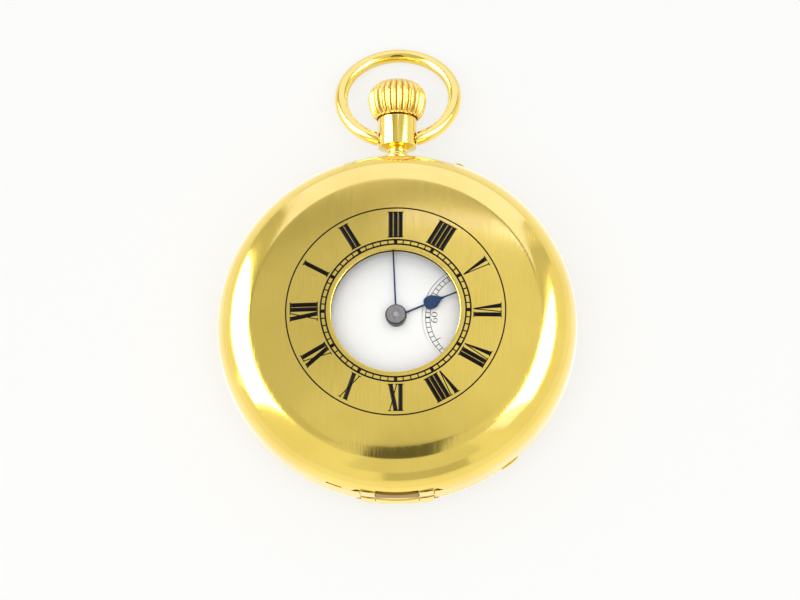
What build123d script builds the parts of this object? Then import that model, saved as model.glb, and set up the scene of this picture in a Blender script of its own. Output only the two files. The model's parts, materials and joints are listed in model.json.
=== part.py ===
from build123d import *
import os
from math import asin, atan2, cos, degrees, hypot, pi, radians, sin, sqrt

# Half hunter pocket watch, dial up: +Z out of the dial, +Y towards the pendant.
# The origin is the centre of the flat on the back cover. Millimetres and degrees.

# Case shell
case_radius = 25.0
lid_apex = 14.2
lid_dome_radius = 190.0
lid_rounding = 5.8
lid_wall = 0.45
lid_joint_height = 7.5
back_flat_radius = 10.0
back_dome_radius = 190.0
back_rounding = 4.6
back_wall = 0.5
back_joint_height = 5.1
thumb_lip_bearing = -51.3
thumb_lip_half_width = 2.0
thumb_lip_reach = 0.3
thumb_lip_thickness = 0.5
joint_gap = 0.05
fit_gap = 0.05
overrun = 1.0

# Lid aperture and its glass
aperture_radius = 9.0
aperture_lip = 0.3
aperture_rim_width = 1.3
lid_glass_radius = 9.45
lid_glass_thickness = 0.35
lid_glass_rise = 0.6
lid_ring_inner_radius = 8.95
lid_ring_thickness = 0.2
lid_tab_half_width = 1.8
lid_tab_thickness = 0.35
lid_tab_lip = 0.35
lid_tab_lip_height = 0.3
lid_tab_base = 8.6

# Case middle
movement_bore = 19.4
plate_bore_gap = 0.15
snap_wall_inset = 2.15
snap_wall_radius = case_radius - snap_wall_inset
snap_wall_top = 8.7
snap_wall_draft = 0.6
lower_wall_inset = 1.6
lower_wall_radius = case_radius - lower_wall_inset
lower_wall_bottom = 4.0
shoulder_half_width = 6.3

# Hinges at the side away from the pendant
knuckle_radius = 0.95
knuckle_clearance = 0.12
knuckle_gap = 0.1
knuckle_half_width = 3.0
hinge_half_width = 5.1
hinge_inset = 0.58
hinge_proud = 0.15
hinge_pin_radius = 0.3
hinge_pin_half_width = 4.0
hinge_slot_half_width = 6.45
hinge_slot_height = 0.8
hinge_slot_radius = 1.2
pin_fit = 0.03
cuvette_knuckle_radius = 0.5
cuvette_knuckle_half_width = 1.6
cuvette_hinge_half_width = 3.4
cuvette_pin_radius = 0.2

# Lift spring beside the lid's hinge
lift_spring_inner, lift_spring_outer = 23.35, 23.65
lift_spring_groove_gap = 0.12
lift_spring_height = 1.1
lift_spring_start, lift_spring_sweep = 198.0, 51.0
lift_spring_end_gap = 0.3

# Inner dust cover
cuvette_radius = 22.1
cuvette_flange_inner = 20.9
cuvette_wall = 0.35
cuvette_floor_radius = 19.6
cuvette_floor = 2.35
cuvette_dome = 0.15

# Pendant, along +Y at this height
pendant_height = 6.3
pendant_rise = 5.5
collar_rise = 1.9
pendant_foot_depth = 0.4
pendant_tenon_depth = 1.1
pendant_radius = 2.715
pendant_top = case_radius + pendant_rise
pendant_collar_base = case_radius + collar_rise
pendant_neck_radius = 1.88
pendant_foot_radius = 3.3
pendant_foot_thickness = 0.45
pendant_foot_base = case_radius - pendant_foot_depth
pendant_bore = 1.35
pendant_tenon_radius = 1.75
pendant_tenon_base = case_radius - pendant_tenon_depth
pendant_edge = 0.2

# Bow
bow_pivot_rise = 3.25
bow_pivot_distance = case_radius + bow_pivot_rise
bow_loop_radius = 7.95
bow_wire_radius = 0.93
bow_side_gap = 0.08
bow_pivot_radius = 0.6
bow_pivot_length = 0.8

# Crown and winding stem
crown_gap = 0.1
crown_base = pendant_top + crown_gap
crown_length = 6.2
crown_radius = 4.05
crown_base_radius = 3.2
crown_skirt_radius = 2.83
crown_skirt_depth = 1.5
crown_flutes = 26
crown_flute_radius = 0.4
crown_flute_depth = 0.2
crown_flute_end = 52.0
flute_runout = 10.0
crown_waist = 2.9
crown_top_radius = crown_length - crown_waist
crown_travel = 0.65
stem_radius = 0.9
stem_square = 1.1
stem_collar_radius = 1.25
stem_collar_length = 0.6
stem_pilot_radius = 0.4
stem_tip = 8.4
stem_crown_depth = 4.2

# Winding and setting works on the stem
winding_pinion_radius = 2.1
winding_pinion_start = 13.45
winding_pinion_length = 1.75
sliding_pinion_radius = 1.7
sliding_pinion_start = 10.9
sliding_groove_radius = 1.3
sliding_groove_width = 0.8
sliding_travel = 0.6
clutch_gap = 0.06
works_teeth = 16
works_tooth_depth = 0.35
stem_round_start = winding_pinion_start + crown_travel
stem_square_start = sliding_pinion_start - sliding_travel

# Lid catch round the stem
catch_half_width = 1.3
catch_thickness = 0.35
catch_bottom = 4.95
catch_nose_height = 0.3
catch_slot_gap = 0.2
catch_inset = 1.7
catch_front = stem_collar_start = case_radius - catch_inset

# Pin-set push pin, at this bearing from the pendant
set_pin_bearing = 20.0
set_pin_radius = 0.45
set_pin_height = 6.3
set_pin_stand = 0.75
set_pin_inner = 18.6
set_pin_head_radius = 0.8
set_pin_head_thickness = 0.4
guard_half_length = 1.9
guard_height = 0.9
guard_thickness = 0.5
guard_reach = 0.65

# Bezel, dial glass and dial
bezel_foot_inset = 1.4
bezel_foot_radius = case_radius - bezel_foot_inset
bezel_wall = 0.7
bezel_top_radius = 20.9
bezel_top = 11.95
bezel_bulge = 0.45
bezel_lip_radius = 20.0
bezel_seat_thickness = 0.4
glass_radius = 20.35
glass_apex = 13.15
glass_dome_radius = 129.0
glass_thickness = 0.35
glass_seat_gap = 0.05
bezel_dial_gap = 0.2
dial_radius = 19.85
dial_top = 11.1
dial_thickness = 0.8
dial_hole_radius = 1.4
dial_edge = 0.2
seconds_offset = 11.35
seconds_recess_radius = 7.8
seconds_recess_depth = 0.25
seconds_hole_radius = 0.45
dial_foot_radius = 0.4
dial_foot_length = 1.4
dial_foot_circle = 18.2
dial_foot_bearings = (65.0, 175.0, 300.0)

# Hands
minute_hand_height = 11.72
minute_hand_length = 14.2
minute_hand_tip_width = 0.26
hour_hand_height = 11.38
hour_hand_length = 14.0
hour_hand_stem_width = 0.27
hour_hand_boss_radius = 1.45
hand_thickness = 0.15
hand_boss_radius = 1.49
hand_boss_top = 12.5
hand_boss_edge = 0.19
seconds_hand_height = 10.97
seconds_hand_length = 5.6
seconds_hand_tail = 2.2
seconds_hand_width = 0.2
seconds_hand_boss_radius = 0.55
minute_hand_angle = 92.4
hour_hand_angle = 22.7
seconds_hand_angle = 36.0
spade_start_share, spade_wide_share, spade_end_share = 0.305, 0.375, 0.52
spade_half_width = 1.0
second_spade_start_share, second_spade_wide_share = 0.74, 0.82
second_spade_half_width = 0.6

# Movement: plate, bridges and levels
plate_radius = 20.2
plate_bottom = 7.9
dial_seat = 10.3
bridge_radius = 19.0
bridge_top = 4.9
bridge_bottom = 3.4
bridge_gap = 0.3
cock_bottom = 3.45
cock_thickness = 0.85
pillar_radius = 1.35
motion_recess_floor = 8.75
motion_recess_gap = 0.5
setting_recess_floor = 8.12
works_channel_half_width = 2.35
keyless_block_half_width = 4.2
keyless_block_inner = 15.5
keyless_block_outer = 19.0
screw_head_radius = 0.85
screw_head_thickness = 0.4
screw_shank_radius = 0.4
screw_shank_length = 2.6
screw_slot_width = 0.25
screw_slot_depth = 0.18
jewel_radius = 0.75
jewel_thickness = 0.35
jewel_hole_gap = 0.04
pivot_radius = 0.14

# Bridges, their pillars and the keyless works beside the stem
barrel_pillars = ((-17.0, -3.6), (-8.0, 15.6))
train_pillars = ((16.4, 4.8), (15.0, -8.9), (-6.2, -7.0))
train_bridge_margin = 0.75
train_bridge_corner = (0.5, -4.8, 0.6)
bridge_split_x = -1.75
bridge_split_low = -4.9
bridge_split_left = 4.3
bridge_split_right_x, bridge_split_right = 9.0, 7.6
cock_foot_x, cock_foot_y = -9.6, -13.2
cock_foot_radius = 2.3
cock_tip_radius = 1.7
pallet_cock_foot_x, pallet_cock_foot_y = 10.6, -9.8
pallet_cock_radius = 1.15
case_screw_bearings = (215.0, 345.0)
case_screw_circle = 18.2
case_screw_head_radius = 1.6
case_screw_length = 4.6
case_pillar_radius = 0.75
setting_lever_x, setting_lever_y = 12.6, 11.6
setting_lever_thickness = 0.6
setting_lever_bottom = pendant_height - setting_lever_thickness / 2
setting_lever_width = 0.5
setting_boss_radius = 1.1
setting_post_radius = 0.45
jewel_sink_radius = 0.5
wheel_post_radius = 0.4
click_x, click_y = -15.3, 0.6
click_radius = 0.75
click_tip_radius = 0.2
click_spring_foot_x, click_spring_foot_y = -14.6, -2.6
click_spring_foot_radius = 0.5
click_spring_width = 0.16
recess_margin = 0.3
cap_screw_radius = 1.25
cap_screw_thickness = 0.35
bridge_floor = 0.55
centre_arbor_radius = 0.45
centre_tip_radius = 0.35
seconds_arbor_radius = 0.2
plate_screw_length = 5.6

# Train: arbor places and tooth counts
barrel_x, barrel_y = -8.2, 3.2
third_x, third_y = 6.2, -1.85
escape_x, escape_y = 10.95, -4.9
balance_x, balance_y = 0.8, -12.3
minute_wheel_x, minute_wheel_y = 0.0, 3.9
setting_wheel_x, setting_wheel_y = 0.0, 8.45
crown_wheel_x, crown_wheel_y = 0.0, 9.35
barrel_teeth, centre_pinion_leaves = 72, 12
centre_teeth, third_pinion_leaves = 64, 8
third_teeth, fourth_pinion_leaves = 60, 8
fourth_teeth, escape_pinion_leaves = 70, 7
cannon_leaves, minute_teeth = 12, 36
minute_pinion_leaves, hour_teeth = 10, 40
setting_teeth = 20
crown_wheel_teeth, ratchet_teeth = 28, 36
escape_teeth = 15
tooth_fill_share = 0.4
tip_fill_share = 0.128
addendum_share = 0.85
dedendum_share = 1.2
wheel_thickness = 0.3
wheel_rim = 0.55
wheel_spoke_width = 0.45
wheel_bars = 2
wheel_hub_radius = 0.95
arbor_radius = 0.28

# Levels of the wheels above the origin
barrel_bottom, barrel_top = 5.1, 7.05
barrel_wall = 0.4
barrel_flange_thickness = 0.55
barrel_root_gap = 0.25
barrel_cover_thickness = 0.25
barrel_arbor_radius = 1.2
barrel_pivot_radius = 0.6
barrel_arbor_top = 8.4
barrel_hole_radius = 0.95
ratchet_bore_radius = 0.68
click_gap = 0.06
centre_wheel_level = 7.3
third_wheel_level = 5.3
fourth_wheel_level = 6.7
escape_wheel_level = 5.9
pinion_reach = 0.25
ratchet_level = 3.7
ratchet_thickness = 0.5
cannon_radius = 0.75
hour_pipe_radius = 1.3
motion_level = 8.85
running_gap = 0.05
hour_wheel_level = motion_level + wheel_thickness + 2 * running_gap
train_low, train_high = bridge_top + running_gap, plate_bottom - running_gap
escape_radius = 3.2
escape_tooth_depth = 0.75
escape_tip_share, escape_locking_share, escape_root_share = 0.32, 0.5, 0.42
stone_gap = 0.06
stone_width = 0.4
stone_length = 1.1
stone_reach = escape_radius + stone_gap
stone_bearing = 30.0
lever_width = 0.45
lever_thickness = 0.3
lever_boss_radius = 0.6
fork_half_width = 0.85
fork_notch_width = 0.5
roller_radius = 1.25
roller_thickness = 0.25
roller_clearance = 0.12
impulse_pin_radius = 0.14
impulse_radius = 0.95
impulse_circle = impulse_radius + impulse_pin_radius
roller_level = escape_wheel_level + lever_thickness + roller_clearance
balance_radius = 6.5
balance_rim = 0.75
balance_level = 5.0
balance_thickness = 0.6
balance_arm_width = 0.8
balance_screws = 12
balance_screw_radius = 0.3
balance_screw_height = 0.15
staff_radius = 0.3
hairspring_inner, hairspring_outer = 0.8, 2.9
hairspring_turns = 7
hairspring_wire = 0.1
hairspring_level = 4.55
hairspring_height = 0.2
regulator_length = 4.6
regulator_thickness = 0.2
mainspring_wall = 0.3
mainspring_turns = 5
steps_per_turn = 16


def turned(edges):
    """A body of revolution about +Z from edges drawn as (radius, height)."""
    return revolve(Plane.XZ * make_face(edges), Axis.Z)


def turned_outline(*points):
    return turned(Polyline(*points, close=True).edges())


def tube(outer, inner, low, high):
    return turned_outline((inner, low), (outer, low), (outer, high), (inner, high))


def disc(radius, low, high):
    return Pos(0, 0, (low + high) / 2) * Cylinder(radius, high - low)


def block(x0, x1, y0, y1, z0, z1):
    centre = Pos((x0 + x1) / 2, (y0 + y1) / 2, (z0 + z1) / 2)
    return centre * Box(x1 - x0, y1 - y0, z1 - z0)


def along_stem(shape):
    """Turn a body built about +Z to lie along +Y at the pendant's height."""
    return Pos(0, 0, pendant_height) * Rot(-90, 0, 0) * shape


def across(shape, y, z):
    """Turn a body built about +Z to lie along X at the given place."""
    return Pos(0, y, z) * Rot(0, 90, 0) * shape


def save(name, shape):
    shape.label = name
    export_step(shape, f"parts/{name}.step")


def group(*solids):
    return Compound(children=[s.solid() if hasattr(s, "solid") else s for s in solids])


class Cover:
    """The outline of one side of the case: a dome met by the rim's rounding.

    side is +1 for the front and -1 for the back; inset moves the outline inwards.
    """

    def __init__(self, apex, dome, rounding, side):
        self.side, self.dome, self.rounding = side, dome, rounding
        self.dome_centre = apex - side * dome
        self.rim_centre = case_radius - rounding
        rise = sqrt((dome - rounding) ** 2 - self.rim_centre**2)
        self.rim_height = self.dome_centre + side * rise
        self.tilt = asin(self.rim_centre / (dome - rounding))

    def dome_at(self, radius, inset=0):
        return self.dome_centre + self.side * sqrt((self.dome - inset) ** 2 - radius**2)

    def rim_at(self, height, inset=0):
        rise = height - self.rim_height
        return self.rim_centre + sqrt((self.rounding - inset) ** 2 - rise**2)

    def height_at(self, radius, inset=0):
        reach = radius - self.rim_centre
        return self.rim_height + self.side * sqrt((self.rounding - inset) ** 2 - reach**2)

    def arc(self, start, end, inset=0):
        """The outline from one radius on the dome to one height on the rounding."""
        dome, rounding, side = self.dome - inset, self.rounding - inset, self.side
        low = asin(start / dome)
        middle = (low + self.tilt) / 2
        joint = (dome * sin(self.tilt), self.dome_centre + side * dome * cos(self.tilt))
        last = (self.rim_at(end, inset), end)
        turn = atan2(side * (end - self.rim_height), last[0] - self.rim_centre)
        half = (turn + pi / 2 - self.tilt) / 2
        return [
            ThreePointArc(
                (start, self.dome_at(start, inset)),
                (dome * sin(middle), self.dome_centre + side * dome * cos(middle)),
                joint,
            ),
            ThreePointArc(
                joint,
                (
                    self.rim_centre + rounding * cos(half),
                    self.rim_height + side * rounding * sin(half),
                ),
                last,
            ),
        ]


back_apex = back_dome_radius - sqrt(back_dome_radius**2 - back_flat_radius**2)
front = Cover(lid_apex, lid_dome_radius, lid_rounding, 1)
back = Cover(-back_apex, back_dome_radius, back_rounding, -1)

# Places worked out from the sizes above
shoulder_line = sqrt(case_radius**2 - shoulder_half_width**2)
hinge_y = -(case_radius - hinge_inset)
hinge_chord = sqrt(case_radius**2 - hinge_slot_half_width**2)
cuvette_hinge_y = -(lower_wall_radius - cuvette_knuckle_radius)
cuvette_hinge_z = lower_wall_bottom


def teeth_outline(teeth, module, phase):
    """A wheel's outline: straight-sided teeth, narrower at the tip."""
    pitch = module * teeth / 2
    root, tip = pitch - dedendum_share * module, pitch + addendum_share * module
    step = 2 * pi / teeth
    points = []
    for n in range(teeth):
        middle = radians(phase) + n * step
        for radius, share in (
            (root, -tooth_fill_share),
            (tip, -tip_fill_share),
            (tip, tip_fill_share),
            (root, tooth_fill_share),
        ):
            angle = middle + share * step
            points.append((radius * cos(angle), radius * sin(angle)))
    return points


def toothed(teeth, module, phase, low, high):
    outline = Polyline(*teeth_outline(teeth, module, phase), close=True)
    return Pos(0, 0, low) * extrude(make_face(outline.edges()), high - low)


def module_for(distance, wheel, pinion):
    return 2 * distance / (wheel + pinion)


def bearing(x0, y0, x1, y1):
    return degrees(atan2(y1 - y0, x1 - x0))


def meshed(teeth_a, phase_a, direction, teeth_b):
    """The phase that lets wheel b mesh with wheel a, which lies the other way."""
    share = ((phase_a - direction) * teeth_a / 360) % 1
    return direction + 180 - share * 360 / teeth_b + 180 / teeth_b


def spoked(teeth, module, phase, low, high):
    """A toothed wheel with its rim, spokes and hub."""
    wheel = toothed(teeth, module, phase, low, high)
    inner = module * (teeth / 2 - dedendum_share) - wheel_rim
    wheel -= tube(inner, wheel_hub_radius, low - overrun, high + overrun)
    for n in range(wheel_bars):
        spoke = Rot(0, 0, n * 180 / wheel_bars + phase) * block(
            -inner - wheel_rim / 2,
            inner + wheel_rim / 2,
            -wheel_spoke_width / 2,
            wheel_spoke_width / 2,
            low,
            high,
        )
        wheel += spoke
    return wheel


def arbor(low, high, radius=arbor_radius):
    """A wheel's axle with a thin pivot at each end, reaching into its jewels."""
    reach = jewel_thickness
    return (
        disc(radius, low, high)
        + disc(pivot_radius, low - reach, low)
        + disc(pivot_radius, high, high + reach)
    )


def rounded_plate(places, low, high):
    """A flat piece whose outline is the hull of discs at (x, y, radius)."""
    outlines = [Pos(x, y) * Circle(r).edge() for x, y, r in places]
    return Pos(0, 0, low) * extrude(make_hull(outlines), high - low)


def screw(x, y, head, depth=screw_shank_length):
    """A slotted screw; its head's outer face looks to the back at this height."""
    body = disc(screw_head_radius, head, head + screw_head_thickness)
    body += disc(screw_shank_radius, head + screw_head_thickness, head + depth)
    body -= block(
        -screw_head_radius,
        screw_head_radius,
        -screw_slot_width / 2,
        screw_slot_width / 2,
        head - overrun,
        head + screw_slot_depth,
    )
    return Pos(x, y, 0) * body


def screw_hole(x, y, head, depth=screw_shank_length):
    hole = disc(screw_head_radius + fit_gap, head - overrun, head + screw_head_thickness)
    hole += disc(screw_shank_radius + pin_fit, head, head + depth + fit_gap)
    return Pos(x, y, 0) * hole


def lens(radius, apex, dome, thickness):
    """A domed glass of even thickness with an upright edge."""
    centre = apex - dome

    def height(r, t):
        return centre + sqrt((dome - t) ** 2 - r**2)

    half = radius / 2
    top, bottom = height(radius, 0), height(radius, thickness)
    return turned(
        [
            ThreePointArc((0, apex), (half, height(half, 0)), (radius, top)),
            Line((radius, top), (radius, bottom)),
            ThreePointArc(
                (radius, bottom), (half, height(half, thickness)), (0, apex - thickness)
            ),
            Line((0, apex - thickness), (0, apex)),
        ]
    )


def lens_edge(radius, apex, dome, thickness=0):
    return apex - dome + sqrt((dome - thickness) ** 2 - radius**2)


def case_body():
    """The whole outside of the closed case as one solid, used to trim what meets it."""
    front_edge, back_edge = front.rim_height, back.rim_height
    return turned(
        [
            *front.arc(0, front_edge),
            Line((case_radius, front_edge), (case_radius, back_edge)),
            *back.arc(back_flat_radius, back_edge),
            Line((back_flat_radius, 0), (0, 0)),
            Line((0, 0), (0, lid_apex)),
        ]
    )


def beyond_shoulder(gap=0):
    """The space past the flat cut that the covers have under the pendant."""
    reach = case_radius + overrun
    return block(-reach, reach, shoulder_line + gap, reach, -overrun, lid_apex)


def hinge_tube(radius, start, end, y, z):
    """A stretch of a hinge from one distance off the middle to another, both sides."""
    length = end - start
    right = Pos((start + end) / 2, 0, 0) * across(Cylinder(radius, length), y, z)
    left = Pos(-(start + end) / 2, 0, 0) * across(Cylinder(radius, length), y, z)
    return right + left


def hinge_middle(radius, half, y, z):
    return across(Cylinder(radius, 2 * half), y, z)


glass_seat_height = front.dome_at(aperture_radius) - aperture_lip
glass_seat_radius = lid_glass_radius + fit_gap
lid_glass_dome = (lid_glass_radius**2 + lid_glass_rise**2) / (2 * lid_glass_rise)
lid_glass_apex = glass_seat_height - fit_gap + lid_glass_rise
lid_glass_edge_bottom = lens_edge(
    lid_glass_radius, lid_glass_apex, lid_glass_dome, lid_glass_thickness
)
lid_rim_base = lid_glass_edge_bottom - fit_gap - lid_ring_thickness


def filed_flush(knuckle):
    """Trim a hinge tube to the round of the rim, a little proud of it."""
    return knuckle & disc(case_radius + hinge_proud, 0, lid_apex)


def cover_hinge(cover, z):
    """Give a cover its two outer hinge tubes and room for the case's middle one."""
    cover -= block(
        -hinge_slot_half_width,
        hinge_slot_half_width,
        -case_radius - overrun,
        -hinge_chord,
        z - hinge_slot_height,
        z + hinge_slot_height,
    )
    cover -= hinge_middle(hinge_slot_radius, knuckle_half_width, hinge_y, z)
    cover += filed_flush(
        hinge_tube(
            knuckle_radius, knuckle_half_width + knuckle_gap, hinge_half_width, hinge_y, z
        )
    )
    return cover - hinge_middle(
        hinge_pin_radius + pin_fit, hinge_pin_half_width, hinge_y, z
    )


def make_front_lid():
    edge = lid_joint_height + joint_gap
    rim = glass_seat_radius + aperture_rim_width
    lid = turned(
        [
            *front.arc(aperture_radius, edge),
            Line((front.rim_at(edge), edge), (front.rim_at(edge, lid_wall), edge)),
            *front.arc(rim, edge, lid_wall),
            *Polyline(
                (rim, front.dome_at(rim, lid_wall)),
                (rim, lid_rim_base),
                (glass_seat_radius, lid_rim_base),
                (glass_seat_radius, glass_seat_height),
                (aperture_radius, glass_seat_height),
                (aperture_radius, front.dome_at(aperture_radius)),
            ).edges(),
        ]
    )
    lid -= beyond_shoulder()
    tab_outer = shoulder_line - joint_gap
    tab = block(
        -lid_tab_half_width,
        lid_tab_half_width,
        tab_outer - lid_tab_thickness,
        tab_outer,
        lid_tab_base,
        lid_apex,
    )
    tab += block(
        -lid_tab_half_width,
        lid_tab_half_width,
        tab_outer - lid_tab_thickness - lid_tab_lip,
        tab_outer,
        lid_tab_base,
        lid_tab_base + lid_tab_lip_height,
    )
    lid += tab & case_body()
    return cover_hinge(lid, lid_joint_height)


def make_lid_glass():
    return lens(lid_glass_radius, lid_glass_apex, lid_glass_dome, lid_glass_thickness)


def make_lid_glass_ring():
    top = lid_rim_base + lid_ring_thickness
    return tube(lid_ring_inner_radius, lid_glass_radius, lid_rim_base, top)


def make_back_cover():
    edge = back_joint_height - joint_gap
    cover = turned(
        [
            *back.arc(back_flat_radius, edge),
            Line((back.rim_at(edge), edge), (back.rim_at(edge, back_wall), edge)),
            *back.arc(back_flat_radius, edge, back_wall),
            *Polyline(
                (back_flat_radius, back.dome_at(back_flat_radius, back_wall)),
                (0, back.dome_at(back_flat_radius, back_wall)),
                (0, 0),
                (back_flat_radius, 0),
            ).edges(),
        ]
    )
    cover -= beyond_shoulder()
    outer = case_radius + thumb_lip_reach
    inner = back.rim_at(edge, back_wall / 2)
    lip = tube(outer, inner, edge - thumb_lip_thickness, edge) & block(
        inner - overrun,
        outer,
        -thumb_lip_half_width,
        thumb_lip_half_width,
        0,
        edge,
    )
    cover += Rot(0, 0, thumb_lip_bearing) * lip
    return cover_hinge(cover, back_joint_height)


def make_cuvette():
    top = lower_wall_bottom - joint_gap
    flange = top - cuvette_wall

    def pan(inset):
        floor, wall = cuvette_floor + inset, cuvette_floor_radius - inset
        return [
            (cuvette_flange_inner - inset, flange + inset),
            (wall, floor),
            (0, floor - cuvette_dome),
        ]

    outer, inner = pan(0), pan(cuvette_wall)
    cover = turned_outline(
        (cuvette_radius, top), (cuvette_radius, flange), *outer, *reversed(inner)
    )
    half = cuvette_knuckle_half_width - knuckle_gap
    cover += block(-half, half, cuvette_hinge_y, -cuvette_flange_inner, flange, top)
    cover += hinge_middle(cuvette_knuckle_radius, half, cuvette_hinge_y, cuvette_hinge_z)
    return cover - hinge_middle(
        cuvette_pin_radius + pin_fit,
        cuvette_hinge_half_width,
        cuvette_hinge_y,
        cuvette_hinge_z,
    )


def set_pin_placed(shape):
    """Turn a body built about +Z to lie along the push pin, at its height."""
    return Rot(0, 0, -set_pin_bearing) * Pos(0, 0, set_pin_height) * (
        Rot(-90, 0, 0) * shape
    )


def sector(inner, outer, low, high, start, sweep):
    """A stretch of a ring from one bearing through an angle."""
    face = Plane.XZ * make_face(
        Polyline((inner, low), (outer, low), (outer, high), (inner, high), close=True)
    )
    return revolve(Rot(0, 0, start) * face, Axis.Z, sweep)


def make_case_middle():
    bore = plate_radius + plate_bore_gap
    middle = turned_outline(
        (movement_bore, lower_wall_bottom),
        (lower_wall_radius, lower_wall_bottom),
        (lower_wall_radius, back_joint_height),
        (back.rim_at(back_joint_height), back_joint_height),
        (case_radius, back.rim_height),
        (case_radius, front.rim_height),
        (front.rim_at(lid_joint_height), lid_joint_height),
        (snap_wall_radius, lid_joint_height),
        (snap_wall_radius - snap_wall_draft, snap_wall_top),
        (bore, snap_wall_top),
        (bore, plate_bottom),
        (movement_bore, plate_bottom),
    )
    shoulder = case_body() & beyond_shoulder(joint_gap)
    middle += shoulder
    clear = knuckle_radius + knuckle_clearance
    for z in (lid_joint_height, back_joint_height):
        middle += filed_flush(hinge_middle(knuckle_radius, knuckle_half_width, hinge_y, z))
        middle -= hinge_tube(
            clear, knuckle_half_width, hinge_half_width + knuckle_gap, hinge_y, z
        )
        middle -= hinge_middle(hinge_pin_radius, knuckle_half_width, hinge_y, z)
    place = (cuvette_hinge_y, cuvette_hinge_z)
    middle += hinge_tube(
        cuvette_knuckle_radius,
        cuvette_knuckle_half_width,
        cuvette_hinge_half_width,
        *place,
    )
    middle -= hinge_middle(
        cuvette_knuckle_radius + knuckle_clearance, cuvette_knuckle_half_width, *place
    )
    middle -= hinge_middle(cuvette_pin_radius, cuvette_hinge_half_width, *place)
    middle -= along_stem(disc(stem_radius + fit_gap, movement_bore - overrun, case_radius))
    middle -= along_stem(
        disc(pendant_tenon_radius, pendant_tenon_base, case_radius + overrun)
    )
    middle -= block(
        -catch_half_width - catch_slot_gap,
        catch_half_width + catch_slot_gap,
        catch_front - catch_thickness - crown_travel - catch_slot_gap,
        pendant_tenon_base,
        catch_bottom - catch_slot_gap,
        snap_wall_top + overrun,
    )
    middle -= set_pin_placed(
        disc(set_pin_radius + pin_fit, movement_bore - overrun, case_radius + overrun)
    )
    middle -= sector(
        lift_spring_inner - lift_spring_groove_gap,
        lift_spring_outer + lift_spring_groove_gap,
        lid_joint_height - lift_spring_height - 2 * lift_spring_groove_gap,
        lid_joint_height + overrun,
        lift_spring_start - lift_spring_end_gap,
        lift_spring_sweep + 2 * lift_spring_end_gap,
    )
    return middle


def make_pendant():
    pendant = turned_outline(
        (pendant_bore, pendant_tenon_base),
        (pendant_tenon_radius, pendant_tenon_base),
        (pendant_tenon_radius, pendant_foot_base),
        (pendant_foot_radius, pendant_foot_base),
        (pendant_foot_radius, case_radius + pendant_foot_thickness / 2),
        (pendant_neck_radius, case_radius + pendant_foot_thickness + pendant_edge),
        (pendant_neck_radius, pendant_collar_base - pendant_edge),
        (pendant_radius - pendant_edge, pendant_collar_base),
        (pendant_radius, pendant_collar_base + pendant_edge),
        (pendant_radius, pendant_top - pendant_edge),
        (pendant_radius - pendant_edge, pendant_top),
        (pendant_bore, pendant_top),
    )
    pendant = along_stem(pendant)
    tenon = along_stem(disc(pendant_tenon_radius, pendant_tenon_base, case_radius))
    pendant -= case_body() - tenon
    pendant -= hinge_middle(
        bow_pivot_radius + pin_fit,
        pendant_radius + overrun,
        bow_pivot_distance,
        pendant_height,
    ) - along_stem(disc(bow_end - bow_pivot_length - fit_gap, 0, pendant_top))
    return pendant


bow_end = pendant_radius + bow_side_gap
bow_centre = sqrt(bow_loop_radius**2 - bow_end**2)
bow_tilt = degrees(
    asin((pendant_height - bow_wire_radius) / (bow_centre + bow_loop_radius))
)


def make_bow():
    """The loop lies down until its far side rests level with the back's flat."""
    loop = Pos(0, bow_centre, 0) * Torus(bow_loop_radius, bow_wire_radius)
    loop -= block(
        -bow_end,
        bow_end,
        -bow_wire_radius - bow_centre,
        bow_centre,
        -bow_wire_radius,
        bow_wire_radius,
    )
    inner = bow_end - bow_pivot_length
    loop += hinge_tube(bow_pivot_radius, inner, bow_end + bow_wire_radius / 2, 0, 0)
    return Pos(0, bow_pivot_distance, pendant_height) * Rot(-bow_tilt, 0, 0) * loop


def make_crown():
    """An onion-shaped button: a flared lower side and a domed, fluted top."""
    flare = crown_radius - crown_base_radius
    side = (crown_waist**2 + flare**2) / (2 * flare)
    low = asin(crown_waist / side)
    centre, top_centre = crown_radius - side, crown_radius - crown_top_radius
    bottom_middle = (
        centre + side * cos(low / 2),
        crown_waist - side * sin(low / 2),
    )
    top_middle = (
        top_centre + crown_top_radius * cos(pi / 4),
        crown_waist + crown_top_radius * sin(pi / 4),
    )
    crown = turned(
        [
            ThreePointArc((crown_base_radius, 0), bottom_middle, (crown_radius, crown_waist)),
            ThreePointArc(
                (crown_radius, crown_waist), top_middle, (top_centre, crown_length)
            ),
            *Polyline(
                (top_centre, crown_length),
                (0, crown_length),
                (0, crown_skirt_depth),
                (crown_skirt_radius, crown_skirt_depth),
                (crown_skirt_radius, 0),
                (crown_base_radius, 0),
            ).edges(),
        ]
    )
    cutter = None
    for arc_centre, radius, start, sweep in (
        (centre, side, -degrees(low) - flute_runout, degrees(low) + flute_runout),
        (top_centre, crown_top_radius, 0, crown_flute_end),
    ):
        reach = radius + crown_flute_radius - crown_flute_depth
        axis = Axis((arc_centre, 0, crown_waist), (0, -1, 0))
        profile = Pos(arc_centre + reach, 0, crown_waist) * (
            Plane.XY * Circle(crown_flute_radius)
        )
        swept = revolve(profile.rotate(axis, start), axis, sweep)
        cutter = swept if cutter is None else cutter + swept
    for n in range(crown_flutes):
        crown -= Rot(0, 0, n * 360 / crown_flutes) * cutter
    crown -= disc(stem_radius, 0, stem_crown_depth)
    return along_stem(Pos(0, 0, crown_base) * crown)


def make_winding_stem():
    end = crown_base + stem_crown_depth
    stem = disc(stem_pilot_radius, stem_tip, stem_square_start)
    stem += block(
        -stem_square / 2,
        stem_square / 2,
        -stem_square / 2,
        stem_square / 2,
        stem_square_start,
        stem_round_start,
    )
    stem += disc(stem_radius, stem_round_start, end)
    stem += disc(
        stem_collar_radius, stem_collar_start, stem_collar_start + stem_collar_length
    )
    return along_stem(stem)


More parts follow.
